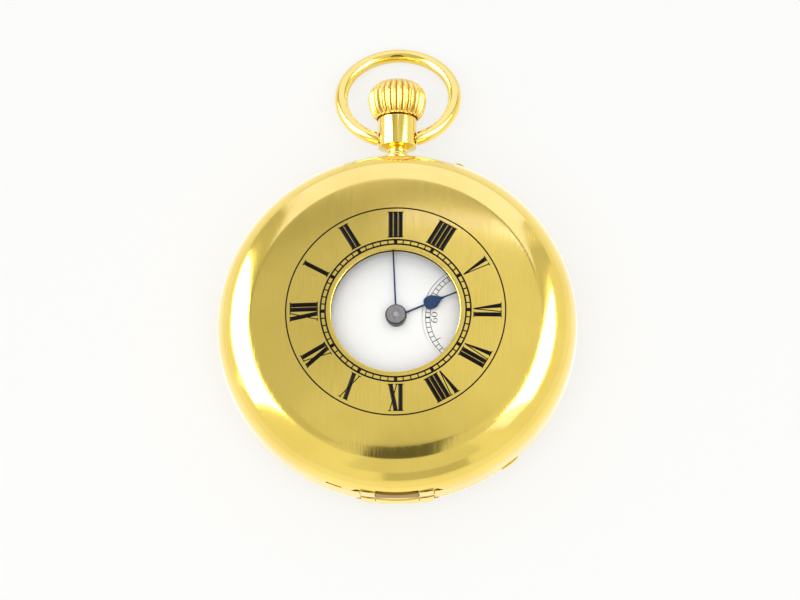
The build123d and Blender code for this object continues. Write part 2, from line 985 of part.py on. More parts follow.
def ratchet_ring(radius, low, high):
    """Saw-edged end teeth, as a ring of wedges round the stem."""
    inner = radius - works_tooth_depth
    step = 2 * pi / works_teeth
    points = []
    for n in range(works_teeth):
        for r, angle in ((radius, n * step), (inner, (n + 1) * step)):
            points.append((r * cos(angle), r * sin(angle)))
    outline = Polyline(*points, close=True)
    return Pos(0, 0, low) * extrude(make_face(outline.edges()), high - low)


def make_winding_pinion():
    start, end = winding_pinion_start, winding_pinion_start + winding_pinion_length
    pinion = toothed(
        works_teeth, 2 * winding_pinion_radius / (works_teeth + 2), 0, start, end
    )
    pinion -= disc(stem_radius + pin_fit, start - overrun, end + overrun)
    return along_stem(pinion)


def make_sliding_pinion():
    start = sliding_pinion_start
    end = winding_pinion_start - clutch_gap
    groove = (start + end - sliding_groove_width) / 2
    pinion = ratchet_ring(sliding_pinion_radius, start, end)
    pinion -= tube(
        sliding_pinion_radius + overrun,
        sliding_groove_radius,
        groove,
        groove + sliding_groove_width,
    )
    hole = stem_square / 2 + pin_fit
    pinion -= block(-hole, hole, -hole, hole, start - overrun, end + overrun)
    return along_stem(pinion)


def make_lid_catch():
    back_face = catch_front - fit_gap - catch_thickness
    front_face = catch_front - fit_gap
    nose_bottom = lid_tab_base + lid_tab_lip_height + fit_gap
    nose_top = nose_bottom + catch_nose_height
    half = catch_half_width
    catch = block(-half, half, back_face, front_face, catch_bottom, nose_top)
    nose_end = shoulder_line - joint_gap - lid_tab_thickness - fit_gap
    catch += block(-half, half, back_face, nose_end, nose_bottom, nose_top)
    hole = disc(stem_radius + fit_gap, back_face - overrun, front_face + overrun)
    return catch - along_stem(hole)


def make_set_pin():
    pin = disc(set_pin_radius, set_pin_inner, case_radius + set_pin_stand)
    head = set_pin_inner + set_pin_head_thickness
    pin += disc(set_pin_head_radius, set_pin_inner, head)
    return set_pin_placed(pin)


def make_pin_guard():
    """A low lug on the rim on both sides of the push pin."""
    reach = case_radius + guard_reach
    half = guard_half_length
    low, high = set_pin_height - guard_height, set_pin_height + guard_height
    lug = rounded_plate(
        [
            (-half + guard_thickness, case_radius - guard_thickness, guard_thickness),
            (half - guard_thickness, case_radius - guard_thickness, guard_thickness),
            (0, reach - 2 * guard_thickness, 2 * guard_thickness),
        ],
        low,
        high,
    )
    lug = Rot(0, 0, -set_pin_bearing) * lug
    lug -= case_body()
    slot = disc(set_pin_radius + 2 * fit_gap, 0, case_radius + guard_reach + overrun)
    return lug - set_pin_placed(slot)


def make_bezel():
    foot = lid_joint_height + joint_gap
    glass_top = lens_edge(bezel_lip_radius, glass_apex, glass_dome_radius)
    glass_bottom = lens_edge(
        glass_radius, glass_apex, glass_dome_radius, glass_thickness
    )
    groove = glass_radius + glass_seat_gap
    seat = glass_bottom - glass_seat_gap
    inner_foot = bezel_foot_radius - bezel_wall
    inner_top = (bezel_top_radius + bezel_wall / 2, seat - bezel_seat_thickness)

    def bowed(start, end, bulge):
        across_r, across_z = end[0] - start[0], end[1] - start[1]
        length = hypot(across_r, across_z)
        middle = (
            (start[0] + end[0]) / 2 + bulge * across_z / length,
            (start[1] + end[1]) / 2 - bulge * across_r / length,
        )
        return ThreePointArc(start, middle, end)

    bezel = turned(
        [
            bowed((bezel_foot_radius, foot), (bezel_top_radius, bezel_top), bezel_bulge),
            *Polyline(
                (bezel_top_radius, bezel_top),
                (bezel_lip_radius, bezel_top),
                (bezel_lip_radius, glass_top + glass_seat_gap),
                (groove, glass_top + glass_seat_gap),
                (groove, seat),
                (dial_radius + bezel_dial_gap, seat),
                (dial_radius + bezel_dial_gap, seat - bezel_seat_thickness),
                inner_top,
            ).edges(),
            bowed((inner_foot, foot), inner_top, bezel_bulge / 2),
            Line((inner_foot, foot), (bezel_foot_radius, foot)),
        ]
    )
    bezel -= hinge_middle(
        knuckle_radius + knuckle_clearance,
        hinge_half_width + knuckle_gap,
        hinge_y,
        lid_joint_height,
    )
    half = lid_tab_half_width + catch_slot_gap
    notch_top = lid_tab_base + lid_tab_lip_height + catch_nose_height + catch_slot_gap
    return bezel - block(
        -half, half, plate_radius, case_radius, foot - overrun, notch_top
    )


def make_dial_glass():
    return lens(glass_radius, glass_apex, glass_dome_radius, glass_thickness)


def make_dial():
    low = dial_top - dial_thickness
    dial = turned_outline(
        (dial_hole_radius, low),
        (dial_radius, low),
        (dial_radius, dial_top - dial_edge),
        (dial_radius - dial_edge, dial_top),
        (dial_hole_radius, dial_top),
    )
    hole = disc(seconds_recess_radius, low - overrun, dial_top + overrun)
    return dial - Pos(seconds_offset, 0, 0) * hole


def make_seconds_dial():
    low = dial_top - dial_thickness
    high = dial_top - seconds_recess_depth
    face = tube(seconds_recess_radius - fit_gap, seconds_hole_radius, low, high)
    return Pos(seconds_offset, 0, 0) * face


def on_circle(radius, bearings):
    return [(radius * cos(radians(b)), radius * sin(radians(b))) for b in bearings]


def foot_places():
    return on_circle(dial_foot_circle, dial_foot_bearings)


def case_screw_places():
    return on_circle(case_screw_circle, case_screw_bearings)


def make_dial_feet():
    top = dial_top - dial_thickness
    foot = disc(dial_foot_radius, top - dial_foot_length, top)
    return group(*[Pos(x, y, 0) * foot for x, y in foot_places()])


# Arbor places as (x, y), and the size of each mesh
centre_place = (0, 0)
barrel_place = (barrel_x, barrel_y)
third_place = (third_x, third_y)
fourth_place = (seconds_offset, 0)
escape_place = (escape_x, escape_y)
balance_place = (balance_x, balance_y)
minute_wheel_place = (minute_wheel_x, minute_wheel_y)
setting_place = (setting_wheel_x, setting_wheel_y)
crown_wheel_place = (crown_wheel_x, crown_wheel_y)


def distance(a, b):
    return hypot(b[0] - a[0], b[1] - a[1])


def towards(a, b, reach):
    """The point a distance from a on the way to b."""
    share = reach / distance(a, b)
    return (a[0] + (b[0] - a[0]) * share, a[1] + (b[1] - a[1]) * share)


barrel_module = module_for(
    distance(barrel_place, centre_place), barrel_teeth, centre_pinion_leaves
)
centre_module = module_for(
    distance(centre_place, third_place), centre_teeth, third_pinion_leaves
)
third_module = module_for(
    distance(third_place, fourth_place), third_teeth, fourth_pinion_leaves
)
fourth_module = module_for(
    distance(fourth_place, escape_place), fourth_teeth, escape_pinion_leaves
)
cannon_module = module_for(
    distance(centre_place, minute_wheel_place), cannon_leaves, minute_teeth
)
hour_module = module_for(
    distance(centre_place, minute_wheel_place), minute_pinion_leaves, hour_teeth
)
winding_module = module_for(
    distance(crown_wheel_place, barrel_place), crown_wheel_teeth, ratchet_teeth
)
pallet_place = towards(escape_place, balance_place, escape_radius / cos(pi / 6))

# Each wheel's phase follows from the wheel that drives it
barrel_phase = 0.0
centre_pinion_phase = meshed(
    barrel_teeth, barrel_phase, bearing(*barrel_place, *centre_place), centre_pinion_leaves
)
centre_phase = 0.0
third_pinion_phase = meshed(
    centre_teeth, centre_phase, bearing(*centre_place, *third_place), third_pinion_leaves
)
third_phase = 0.0
fourth_pinion_phase = meshed(
    third_teeth, third_phase, bearing(*third_place, *fourth_place), fourth_pinion_leaves
)
fourth_phase = 0.0
escape_pinion_phase = meshed(
    fourth_teeth, fourth_phase, bearing(*fourth_place, *escape_place), escape_pinion_leaves
)
cannon_phase = 0.0
minute_phase = meshed(
    cannon_leaves, cannon_phase, bearing(*centre_place, *minute_wheel_place), minute_teeth
)
minute_pinion_phase = 0.0
hour_phase = meshed(
    minute_pinion_leaves,
    minute_pinion_phase,
    bearing(*minute_wheel_place, *centre_place),
    hour_teeth,
)
setting_phase = meshed(
    minute_teeth, minute_phase, bearing(*minute_wheel_place, *setting_place), setting_teeth
)
crown_wheel_phase = 0.0
ratchet_phase = meshed(
    crown_wheel_teeth,
    crown_wheel_phase,
    bearing(*crown_wheel_place, *barrel_place),
    ratchet_teeth,
)

groove_middle = (
    sliding_pinion_start + winding_pinion_start - clutch_gap
) / 2
fork_tip_radius = sliding_groove_width / 2 - 2 * fit_gap
fork_tip_x = sliding_groove_radius + 2 * fit_gap + fork_tip_radius
pad_reach = set_pin_inner - setting_lever_width - fit_gap
pad_place = (
    pad_reach * sin(radians(set_pin_bearing)),
    pad_reach * cos(radians(set_pin_bearing)),
)


def barrel_bridge_outline(gap):
    """The barrel bridge's side of the split, as a prism; gap moves the split out."""
    reach = bridge_radius + overrun
    outline = Polyline(
        (-reach, bridge_split_low - gap),
        (bridge_split_x + gap, bridge_split_low - gap),
        (bridge_split_x + gap, bridge_split_left - gap),
        (bridge_split_right_x + gap, bridge_split_right - gap),
        (bridge_split_right_x + gap, reach),
        (-reach, reach),
        close=True,
    )
    return Pos(0, 0, bridge_bottom) * extrude(
        make_face(outline.edges()), bridge_top - bridge_bottom
    )


def pillar_screws(places):
    return [screw(x, y, bridge_bottom) for x, y in places]


def jewel_seat(place, low, outwards):
    """Room for a jewel let in from the train's side, and its oil sink."""
    x, y = place
    high = low + jewel_thickness
    depth = overrun * 2
    if outwards > 0:
        sink = disc(jewel_sink_radius, high, high + depth)
    else:
        sink = disc(jewel_sink_radius, low - depth, low)
    return Pos(x, y, 0) * (disc(jewel_radius, low, high) + sink)


def jewel(place, low, hole=pivot_radius + jewel_hole_gap):
    x, y = place
    return Pos(x, y, 0) * tube(jewel_radius, hole, low, low + jewel_thickness)


bridge_jewel_level = bridge_top - jewel_thickness
cock_level = cock_bottom + cock_thickness
cock_jewel_level = cock_level - jewel_thickness
bridge_jewels = (centre_place, third_place, fourth_place, escape_place)
plate_jewels = (third_place, escape_place, pallet_place, balance_place)


def works_channel():
    half = works_channel_half_width
    return block(
        -half,
        half,
        stem_square_start - 2 * fit_gap,
        keyless_block_inner,
        pendant_height - half,
        pendant_height + half,
    )


def tip_radius(teeth, module):
    return module * (teeth / 2 + addendum_share)


def make_main_plate():
    plate = disc(plate_radius, plate_bottom, dial_seat)
    keyless = block(
        -keyless_block_half_width,
        keyless_block_half_width,
        keyless_block_inner,
        keyless_block_outer,
        bridge_top,
        plate_bottom,
    )
    plate += keyless & disc(bridge_radius, bridge_top, plate_bottom)
    plate += block(
        -wheel_hub_radius,
        wheel_hub_radius,
        stem_tip - crown_travel,
        stem_square_start - crown_travel - 2 * fit_gap,
        pendant_height - wheel_hub_radius,
        plate_bottom,
    )
    for x, y in (*barrel_pillars, *train_pillars):
        plate += Pos(x, y, 0) * disc(pillar_radius, bridge_top, plate_bottom)
    for x, y in case_screw_places():
        plate += Pos(x, y, 0) * disc(
            case_pillar_radius, lower_wall_bottom, plate_bottom
        )
        plate -= Pos(x, y, 0) * disc(
            screw_shank_radius,
            lower_wall_bottom,
            lower_wall_bottom + case_screw_length,
        )
    for x, y in (*barrel_pillars, *train_pillars):
        plate -= screw_hole(x, y, bridge_bottom)
    for x, y in ((cock_foot_x, cock_foot_y), (pallet_cock_foot_x, pallet_cock_foot_y)):
        plate -= screw_hole(x, y, bridge_bottom, plate_screw_length)
    recesses = (
        (centre_place, tip_radius(hour_teeth, hour_module), motion_recess_floor),
        (minute_wheel_place, tip_radius(minute_teeth, cannon_module), motion_recess_floor),
        (setting_place, tip_radius(setting_teeth, cannon_module), setting_recess_floor),
    )
    for (x, y), radius, floor in recesses:
        plate -= Pos(x, y, 0) * disc(radius + recess_margin, floor, dial_seat + overrun)
    plate -= works_channel()
    for x, y in (minute_wheel_place, setting_place):
        plate += Pos(x, y, 0) * disc(
            wheel_post_radius, plate_bottom, motion_level + wheel_thickness
        )
    plate -= disc(centre_arbor_radius + running_gap, 0, dial_seat)
    stem_hole = disc(stem_radius + pin_fit, keyless_block_inner - overrun, case_radius)
    pilot_low = stem_tip - 2 * overrun
    stem_hole += disc(stem_pilot_radius + pin_fit, pilot_low, keyless_block_inner)
    plate -= along_stem(stem_hole)
    for place in plate_jewels:
        plate -= jewel_seat(place, plate_bottom, 1)
    plate -= Pos(*fourth_place, 0) * disc(
        seconds_arbor_radius + running_gap, plate_bottom - overrun, dial_seat
    )
    plate -= Pos(*barrel_place, 0) * disc(
        barrel_pivot_radius + running_gap, plate_bottom - overrun, barrel_arbor_top
    )
    for x, y in foot_places():
        top = dial_top - dial_thickness
        plate -= Pos(x, y, 0) * disc(dial_foot_radius + pin_fit, top - dial_foot_length, top)
    x, y = setting_lever_x, setting_lever_y
    post = disc(setting_post_radius, setting_lever_bottom, plate_bottom)
    return plate + Pos(x, y, 0) * post


def recess(place, radius, floor):
    return Pos(*place, 0) * disc(radius + recess_margin, bridge_bottom - overrun, floor)


def make_barrel_bridge():
    bridge = barrel_bridge_outline(-bridge_gap / 2) & disc(
        bridge_radius, bridge_bottom, bridge_top
    )
    floor = bridge_top - bridge_floor
    bridge -= recess(barrel_place, tip_radius(ratchet_teeth, winding_module), floor)
    bridge -= recess(
        crown_wheel_place, tip_radius(crown_wheel_teeth, winding_module), floor
    )
    bridge -= Pos(0, 0, bridge_bottom - overrun) * click_outline(
        recess_margin, floor - bridge_bottom + overrun
    )
    bridge += Pos(*crown_wheel_place, 0) * disc(
        wheel_hub_radius, ratchet_level, floor + fit_gap
    )
    bridge -= Pos(*crown_wheel_place, 0) * disc(
        screw_shank_radius + pin_fit, bridge_bottom, bridge_top
    )
    bridge -= Pos(*barrel_place, 0) * disc(barrel_hole_radius, bridge_bottom, bridge_top)
    bridge -= Pos(click_x, click_y, 0) * disc(
        screw_shank_radius + pin_fit, bridge_bottom, bridge_top
    )
    bridge -= works_channel()
    for x, y in barrel_pillars:
        bridge -= screw_hole(x, y, bridge_bottom)
    return bridge


def click_tip():
    reach = tip_radius(ratchet_teeth, winding_module) + click_gap + click_tip_radius
    return towards(barrel_place, (click_x, click_y + 2 * click_radius), reach)


def click_outline(margin, height):
    """The space that the click and its spring lie in, widened by a margin."""
    return rounded_plate(
        [
            (click_x, click_y, click_radius + 2 * margin),
            (*click_tip(), click_tip_radius + 2 * margin),
            (click_spring_foot_x, click_spring_foot_y, click_spring_foot_radius + margin),
        ],
        0,
        height,
    )


def make_train_bridge():
    margin = train_bridge_margin
    bridge = rounded_plate(
        [
            (*centre_place, jewel_radius + margin),
            (*train_pillars[0], pillar_radius + margin),
            (*train_pillars[1], pillar_radius + margin),
        ],
        bridge_bottom,
        bridge_top,
    )
    bridge += rounded_plate(
        [
            (*centre_place, jewel_radius + margin),
            train_bridge_corner,
            (*train_pillars[2], pillar_radius + bridge_gap),
        ],
        bridge_bottom,
        bridge_top,
    )
    bridge &= disc(bridge_radius, bridge_bottom, bridge_top)
    bridge -= barrel_bridge_outline(bridge_gap / 2)
    bridge -= rounded_plate(
        [
            (*pallet_place, pallet_cock_radius + bridge_gap),
            (pallet_cock_foot_x, pallet_cock_foot_y, pallet_cock_radius + bridge_gap),
            (*balance_place, balance_radius + bridge_gap),
        ],
        bridge_bottom,
        bridge_top,
    )
    for x, y in case_screw_places():
        bridge -= Pos(x, y, 0) * disc(
            case_screw_head_radius + bridge_gap, bridge_bottom, bridge_top
        )
    for place in bridge_jewels:
        bridge -= jewel_seat(place, bridge_jewel_level, -1)
    for x, y in train_pillars:
        bridge -= screw_hole(x, y, bridge_bottom)
    return bridge


def make_pallet_cock():
    x, y = pallet_cock_foot_x, pallet_cock_foot_y
    cock = rounded_plate(
        [(*pallet_place, pallet_cock_radius), (x, y, pallet_cock_radius)],
        bridge_bottom,
        bridge_top,
    )
    cock += Pos(x, y, 0) * disc(pallet_cock_radius, bridge_top, plate_bottom)
    cock -= jewel_seat(pallet_place, bridge_jewel_level, -1)
    return cock - screw_hole(x, y, bridge_bottom, plate_screw_length)


def make_balance_cock():
    x, y = cock_foot_x, cock_foot_y
    cock = rounded_plate(
        [(*balance_place, cock_tip_radius), (x, y, cock_foot_radius)],
        cock_bottom,
        cock_level,
    )
    cock += Pos(x, y, 0) * disc(cock_foot_radius, cock_level, plate_bottom)
    cock -= jewel_seat(balance_place, cock_jewel_level, -1)
    return cock - screw_hole(x, y, cock_bottom, plate_screw_length)


def make_bridge_screws():
    screws = pillar_screws((*barrel_pillars, *train_pillars))
    screws.append(screw(cock_foot_x, cock_foot_y, cock_bottom, plate_screw_length))
    screws.append(
        screw(pallet_cock_foot_x, pallet_cock_foot_y, bridge_bottom, plate_screw_length)
    )
    return group(*screws)


def make_jewels():
    stones = [jewel(place, bridge_jewel_level) for place in bridge_jewels]
    stones.append(jewel(pallet_place, bridge_jewel_level))
    stones.append(jewel(balance_place, cock_jewel_level))
    stones += [jewel(place, plate_bottom) for place in plate_jewels]
    return group(*stones)


def make_case_screws():
    screws = []
    for x, y in case_screw_places():
        head = lower_wall_bottom - fit_gap - screw_head_thickness
        one = disc(case_screw_head_radius, head, head + screw_head_thickness)
        one += disc(
            screw_shank_radius - pin_fit,
            head,
            lower_wall_bottom + case_screw_length - fit_gap,
        )
        slot = screw_slot_width / 2
        one -= block(
            -case_screw_head_radius,
            case_screw_head_radius,
            -slot,
            slot,
            head - overrun,
            head + screw_slot_depth,
        )
        screws.append(Pos(x, y, 0) * one)
    return group(*screws)


def make_barrel():
    root = barrel_module * (barrel_teeth / 2 - dedendum_share)
    drum = root - barrel_root_gap
    barrel = disc(drum, barrel_bottom, barrel_top)
    barrel += toothed(
        barrel_teeth,
        barrel_module,
        barrel_phase,
        barrel_top - barrel_flange_thickness,
        barrel_top,
    )
    barrel -= disc(
        drum - barrel_wall, barrel_bottom - overrun, barrel_top - barrel_wall
    )
    barrel -= disc(barrel_hole_radius, barrel_bottom, barrel_top + overrun)
    return Pos(*barrel_place, 0) * barrel


def make_barrel_cover():
    root = barrel_module * (barrel_teeth / 2 - dedendum_share)
    radius = root - barrel_root_gap - barrel_wall
    cover = tube(
        radius, barrel_hole_radius, barrel_bottom, barrel_bottom + barrel_cover_thickness
    )
    return Pos(*barrel_place, 0) * cover


def spiral(inner, outer, turns, wall, low, high):
    """A flat coiled strip, its thickness drawn along the radius."""
    count = turns * steps_per_turn
    line = []
    for n in range(count + 1):
        angle = 2 * pi * n / steps_per_turn
        line.append((inner + (outer - inner) * n / count, angle))
    near = [((r - wall / 2) * cos(a), (r - wall / 2) * sin(a)) for r, a in line]
    far = [((r + wall / 2) * cos(a), (r + wall / 2) * sin(a)) for r, a in line]
    outline = Polyline(*near, *reversed(far), close=True)
    return Pos(0, 0, low) * extrude(make_face(outline.edges()), high - low)


def make_mainspring():
    root = barrel_module * (barrel_teeth / 2 - dedendum_share)
    outer = root - barrel_root_gap - barrel_wall - mainspring_wall
    low = barrel_bottom + barrel_cover_thickness + fit_gap
    high = barrel_top - barrel_wall - fit_gap
    coil = spiral(
        barrel_arbor_radius + mainspring_wall,
        outer,
        mainspring_turns,
        mainspring_wall,
        low,
        high,
    )
    return Pos(*barrel_place, 0) * coil


def make_barrel_arbor():
    low = barrel_bottom + barrel_cover_thickness + fit_gap
    high = barrel_top - barrel_wall - fit_gap
    neck = barrel_hole_radius - running_gap
    shaft = disc(neck, ratchet_level + ratchet_thickness, barrel_top + running_gap)
    shaft += disc(ratchet_bore_radius, ratchet_level, high)
    shaft += disc(barrel_arbor_radius, low, high)
    shaft += disc(barrel_pivot_radius, high, barrel_arbor_top - fit_gap)
    shaft -= disc(
        screw_shank_radius, ratchet_level, ratchet_level + 2 * ratchet_thickness
    )
    return Pos(*barrel_place, 0) * shaft


def make_ratchet_wheel():
    wheel = toothed(
        ratchet_teeth,
        winding_module,
        ratchet_phase,
        ratchet_level,
        ratchet_level + ratchet_thickness,
    )
    wheel -= disc(ratchet_bore_radius, 0, bridge_top)
    return Pos(*barrel_place, 0) * wheel


def cap_screw(place):
    """A large flat screw over the ratchet wheel or the crown wheel."""
    head = ratchet_level - cap_screw_thickness
    body = disc(cap_screw_radius, head, ratchet_level)
    body += disc(
        screw_shank_radius - pin_fit, head, ratchet_level + 2 * ratchet_thickness - fit_gap
    )
    slot = screw_slot_width / 2
    body -= block(
        -cap_screw_radius,
        cap_screw_radius,
        -slot,
        slot,
        head - overrun,
        head + screw_slot_depth,
    )
    return Pos(*place, 0) * body


def make_crown_wheel():
    wheel = toothed(
        crown_wheel_teeth,
        winding_module,
        crown_wheel_phase,
        ratchet_level + running_gap,
        ratchet_level + ratchet_thickness,
    )
    wheel -= disc(wheel_hub_radius + running_gap, 0, bridge_top)
    return Pos(*crown_wheel_place, 0) * wheel


def make_click():
    """A pawl whose beak stops just short of the ratchet wheel's teeth."""
    low, high = ratchet_level + running_gap, ratchet_level + ratchet_thickness
    pawl = rounded_plate(
        [(click_x, click_y, click_radius), (*click_tip(), click_tip_radius)], low, high
    )
    return pawl - Pos(click_x, click_y, 0) * disc(screw_shank_radius + running_gap, 0, high)


def make_click_spring():
    low, high = ratchet_level + running_gap, ratchet_level + ratchet_thickness
    x, y = click_spring_foot_x, click_spring_foot_y
    foot = Pos(x, y, 0) * disc(click_spring_foot_radius, low, bridge_top - bridge_floor)
    start = (x - click_spring_foot_radius + click_spring_width, y)
    end = (click_x - click_radius / 2, click_y - click_radius - click_spring_width)
    return foot + rounded_plate(
        [(*start, click_spring_width / 2), (*end, click_spring_width / 2)], low, high
    )


def make_click_screw():
    head = ratchet_level - cap_screw_thickness
    body = disc(click_radius, head, ratchet_level)
    body += disc(screw_shank_radius, head, bridge_top)
    return Pos(click_x, click_y, 0) * body


def make_centre_wheel():
    level, top = centre_wheel_level, centre_wheel_level + wheel_thickness
    wheel = spoked(centre_teeth, centre_module, centre_phase, level, top)
    leaf_low = barrel_top - barrel_flange_thickness - pinion_reach
    wheel += toothed(
        centre_pinion_leaves, barrel_module, centre_pinion_phase, leaf_low, level
    )
    wheel += disc(centre_arbor_radius, train_low, minute_hand_height)
    wheel += disc(pivot_radius, train_low - jewel_thickness, train_low)
    return wheel + disc(centre_tip_radius, minute_hand_height, hand_boss_top)


def make_third_wheel():
    level, top = third_wheel_level, third_wheel_level + wheel_thickness
    wheel = spoked(third_teeth, third_module, third_phase, level, top)
    wheel += toothed(
        third_pinion_leaves,
        centre_module,
        third_pinion_phase,
        centre_wheel_level - pinion_reach / 2,
        train_high,
    )
    return Pos(*third_place, 0) * (wheel + arbor(train_low, train_high))


def make_fourth_wheel():
    level, top = fourth_wheel_level, fourth_wheel_level + wheel_thickness
    wheel = spoked(fourth_teeth, fourth_module, fourth_phase, level, top)
    wheel += toothed(
        fourth_pinion_leaves,
        third_module,
        fourth_pinion_phase,
        train_low,
        third_wheel_level + wheel_thickness + pinion_reach,
    )
    wheel += arbor(train_low, train_high)
    wheel += disc(seconds_arbor_radius, train_high, seconds_hand_height + hand_thickness)
    return Pos(*fourth_place, 0) * wheel


def make_escape_wheel():
    low, high = escape_wheel_level, escape_wheel_level + wheel_thickness
    root = escape_radius - escape_tooth_depth
    step = 2 * pi / escape_teeth
    points = []
    corners = (
        (root, 0),
        (escape_radius, escape_tip_share),
        (escape_radius, escape_locking_share),
        (root, escape_root_share),
    )
    for n in range(escape_teeth):
        for radius, share in corners:
            angle = (n + share) * step
            points.append((radius * cos(angle), radius * sin(angle)))
    outline = Polyline(*points, close=True)
    wheel = Pos(0, 0, low) * extrude(make_face(outline.edges()), high - low)
    inner = root - wheel_rim / 2
    wheel -= tube(inner, wheel_hub_radius, low - overrun, high + overrun)
    for n in range(wheel_bars):
        wheel += Rot(0, 0, n * 180 / wheel_bars) * block(
            -inner, inner, -wheel_spoke_width / 2, wheel_spoke_width / 2, low, high
        )
    wheel += toothed(
        escape_pinion_leaves,
        fourth_module,
        escape_pinion_phase,
        high,
        fourth_wheel_level + wheel_thickness + pinion_reach,
    )
    return Pos(*escape_place, 0) * (wheel + arbor(train_low, train_high))


def stone_box(margin=0):
    """One pallet stone, lying along the radius of the escape wheel."""
    low, high = escape_wheel_level, escape_wheel_level + lever_thickness
    return block(
        stone_reach,
        stone_reach + stone_length,
        -stone_width / 2 - margin,
        stone_width / 2 + margin,
        low - margin,
        high + margin,
    )


def pallet_placed(shape):
    """Place a body drawn with the pallet arbor at the origin, balance along +X."""
    turn = bearing(*pallet_place, *balance_place)
    return Pos(*pallet_place, 0) * Rot(0, 0, turn) * shape


def make_pallet_lever():
    low, high = escape_wheel_level, escape_wheel_level + lever_thickness
    length = distance(pallet_place, balance_place) - impulse_circle - roller_clearance
    lever = rounded_plate(
        [
            (0, 0, lever_boss_radius),
            (length - fork_half_width, 0, lever_width / 2),
        ],
        low,
        high,
    )
    lever += block(
        length - fork_half_width, length, -fork_half_width, fork_half_width, low, high
    )
    notch = fork_notch_width / 2
    lever -= block(length - fork_half_width / 2, length + overrun, -notch, notch, 0, lid_apex)
    centre = -distance(escape_place, pallet_place)
    outer = stone_reach + stone_length - stone_width / 2
    for side in (-1, 1):
        angle = radians(side * stone_bearing)
        x, y = centre + outer * cos(angle), outer * sin(angle)
        lever += rounded_plate(
            [(0, 0, lever_width), (x, y, stone_width)], low, high
        )
    for side in (-1, 1):
        lever -= Pos(centre, 0, 0) * Rot(0, 0, side * stone_bearing) * stone_box()
    swept = disc(escape_radius + running_gap, 0, lid_apex)
    lever -= Pos(centre, 0, 0) * swept
    lever += arbor(train_low, train_high)
    return pallet_placed(lever)


def make_pallet_stones():
    centre = -distance(escape_place, pallet_place)
    stones = [
        pallet_placed(Pos(centre, 0, 0) * Rot(0, 0, side * stone_bearing) * stone_box())
        for side in (-1, 1)
    ]
    return group(*stones)


def make_balance_wheel():
    low, high = balance_level, balance_level + balance_thickness
    wheel = tube(balance_radius, balance_radius - balance_rim, low, high)
    arm = balance_arm_width / 2
    reach = balance_radius - balance_rim / 2
    wheel += block(-reach, reach, -arm, arm, low, high)
    wheel += disc(wheel_hub_radius, low, high)
    wheel -= disc(staff_radius, low, high)
    screw_circle = balance_radius - balance_rim / 2
    for n in range(balance_screws):
        angle = 2 * pi * (n + 0.5) / balance_screws
        wheel += Pos(screw_circle * cos(angle), screw_circle * sin(angle), 0) * disc(
            balance_screw_radius, low - balance_screw_height, high
        )
    return Pos(*balance_place, 0) * wheel


def make_balance_staff():
    low = cock_level + running_gap
    staff = disc(staff_radius, low, train_high)
    staff += disc(pivot_radius, low - jewel_thickness, low)
    staff += disc(pivot_radius, train_high, train_high + jewel_thickness)
    return Pos(*balance_place, 0) * staff


def make_roller():
    """The impulse pin stands towards the lever, just clear of the fork."""
    roller = disc(roller_radius, roller_level, roller_level + roller_thickness)
    roller -= disc(staff_radius, 0, lid_apex)
    turn = radians(bearing(*balance_place, *pallet_place))
    pin = disc(impulse_pin_radius, escape_wheel_level, roller_level)
    roller += Pos(impulse_radius * cos(turn), impulse_radius * sin(turn), 0) * pin
    return Pos(*balance_place, 0) * roller


def make_hairspring():
    low = hairspring_level
    coil = spiral(
        hairspring_inner,
        hairspring_outer,
        hairspring_turns,
        hairspring_wire,
        low,
        low + hairspring_height,
    )
    collet = tube(hairspring_inner, staff_radius, low, low + hairspring_height)
    return Pos(*balance_place, 0) * (coil + collet)


def make_regulator():
    """An index lever that turns about the balance's axis on the cock."""
    high = cock_bottom - running_gap
    low = high - regulator_thickness
    index = disc(cock_tip_radius, low, high)
    index += rounded_plate(
        [(0, 0, cock_tip_radius / 2), (-regulator_length, regulator_thickness, regulator_thickness)],
        low,
        high,
    )
    index -= disc(jewel_radius, 0, high)
    return Pos(*balance_place, 0) * index


def make_cannon_pinion():
    low = motion_level
    pinion = toothed(cannon_leaves, cannon_module, cannon_phase, low, low + wheel_thickness)
    pinion += disc(cannon_radius, low, minute_hand_height)
    return pinion - disc(centre_arbor_radius, low - overrun, minute_hand_height)


def make_hour_wheel():
    low = hour_wheel_level
    wheel = toothed(hour_teeth, hour_module, hour_phase, low, low + wheel_thickness)
    wheel += disc(hour_pipe_radius, low, hour_hand_height + hand_thickness)
    return wheel - disc(cannon_radius + running_gap, low - overrun, lid_apex)


def make_minute_wheel():
    low, high = motion_level, motion_level + wheel_thickness
    wheel = toothed(minute_teeth, cannon_module, minute_phase, low, high)
    wheel += toothed(
        minute_pinion_leaves,
        hour_module,
        minute_pinion_phase,
        high,
        hour_wheel_level + wheel_thickness,
    )
    wheel -= disc(wheel_post_radius + running_gap, low - overrun, high)
    return Pos(*minute_wheel_place, 0) * wheel


def make_setting_wheel():
    low, high = setting_recess_floor + running_gap, motion_level + wheel_thickness
    wheel = toothed(setting_teeth, cannon_module, setting_phase, low, high)
    wheel -= disc(wheel_post_radius + running_gap, low - overrun, high)
    return Pos(*setting_place, 0) * wheel


def make_setting_lever():
    """One bar from its post to the groove of the sliding pinion and the push pin."""
    low, high = setting_lever_bottom, setting_lever_bottom + setting_lever_thickness
    x, y = setting_lever_x, setting_lever_y
    lever = rounded_plate(
        [(x, y, setting_boss_radius), (fork_tip_x, groove_middle, fork_tip_radius)],
        low,
        high,
    )
    lever += rounded_plate(
        [(x, y, setting_boss_radius), (*pad_place, setting_lever_width)], low, high
    )
    return lever - Pos(x, y, 0) * disc(setting_post_radius + running_gap, 0, high)


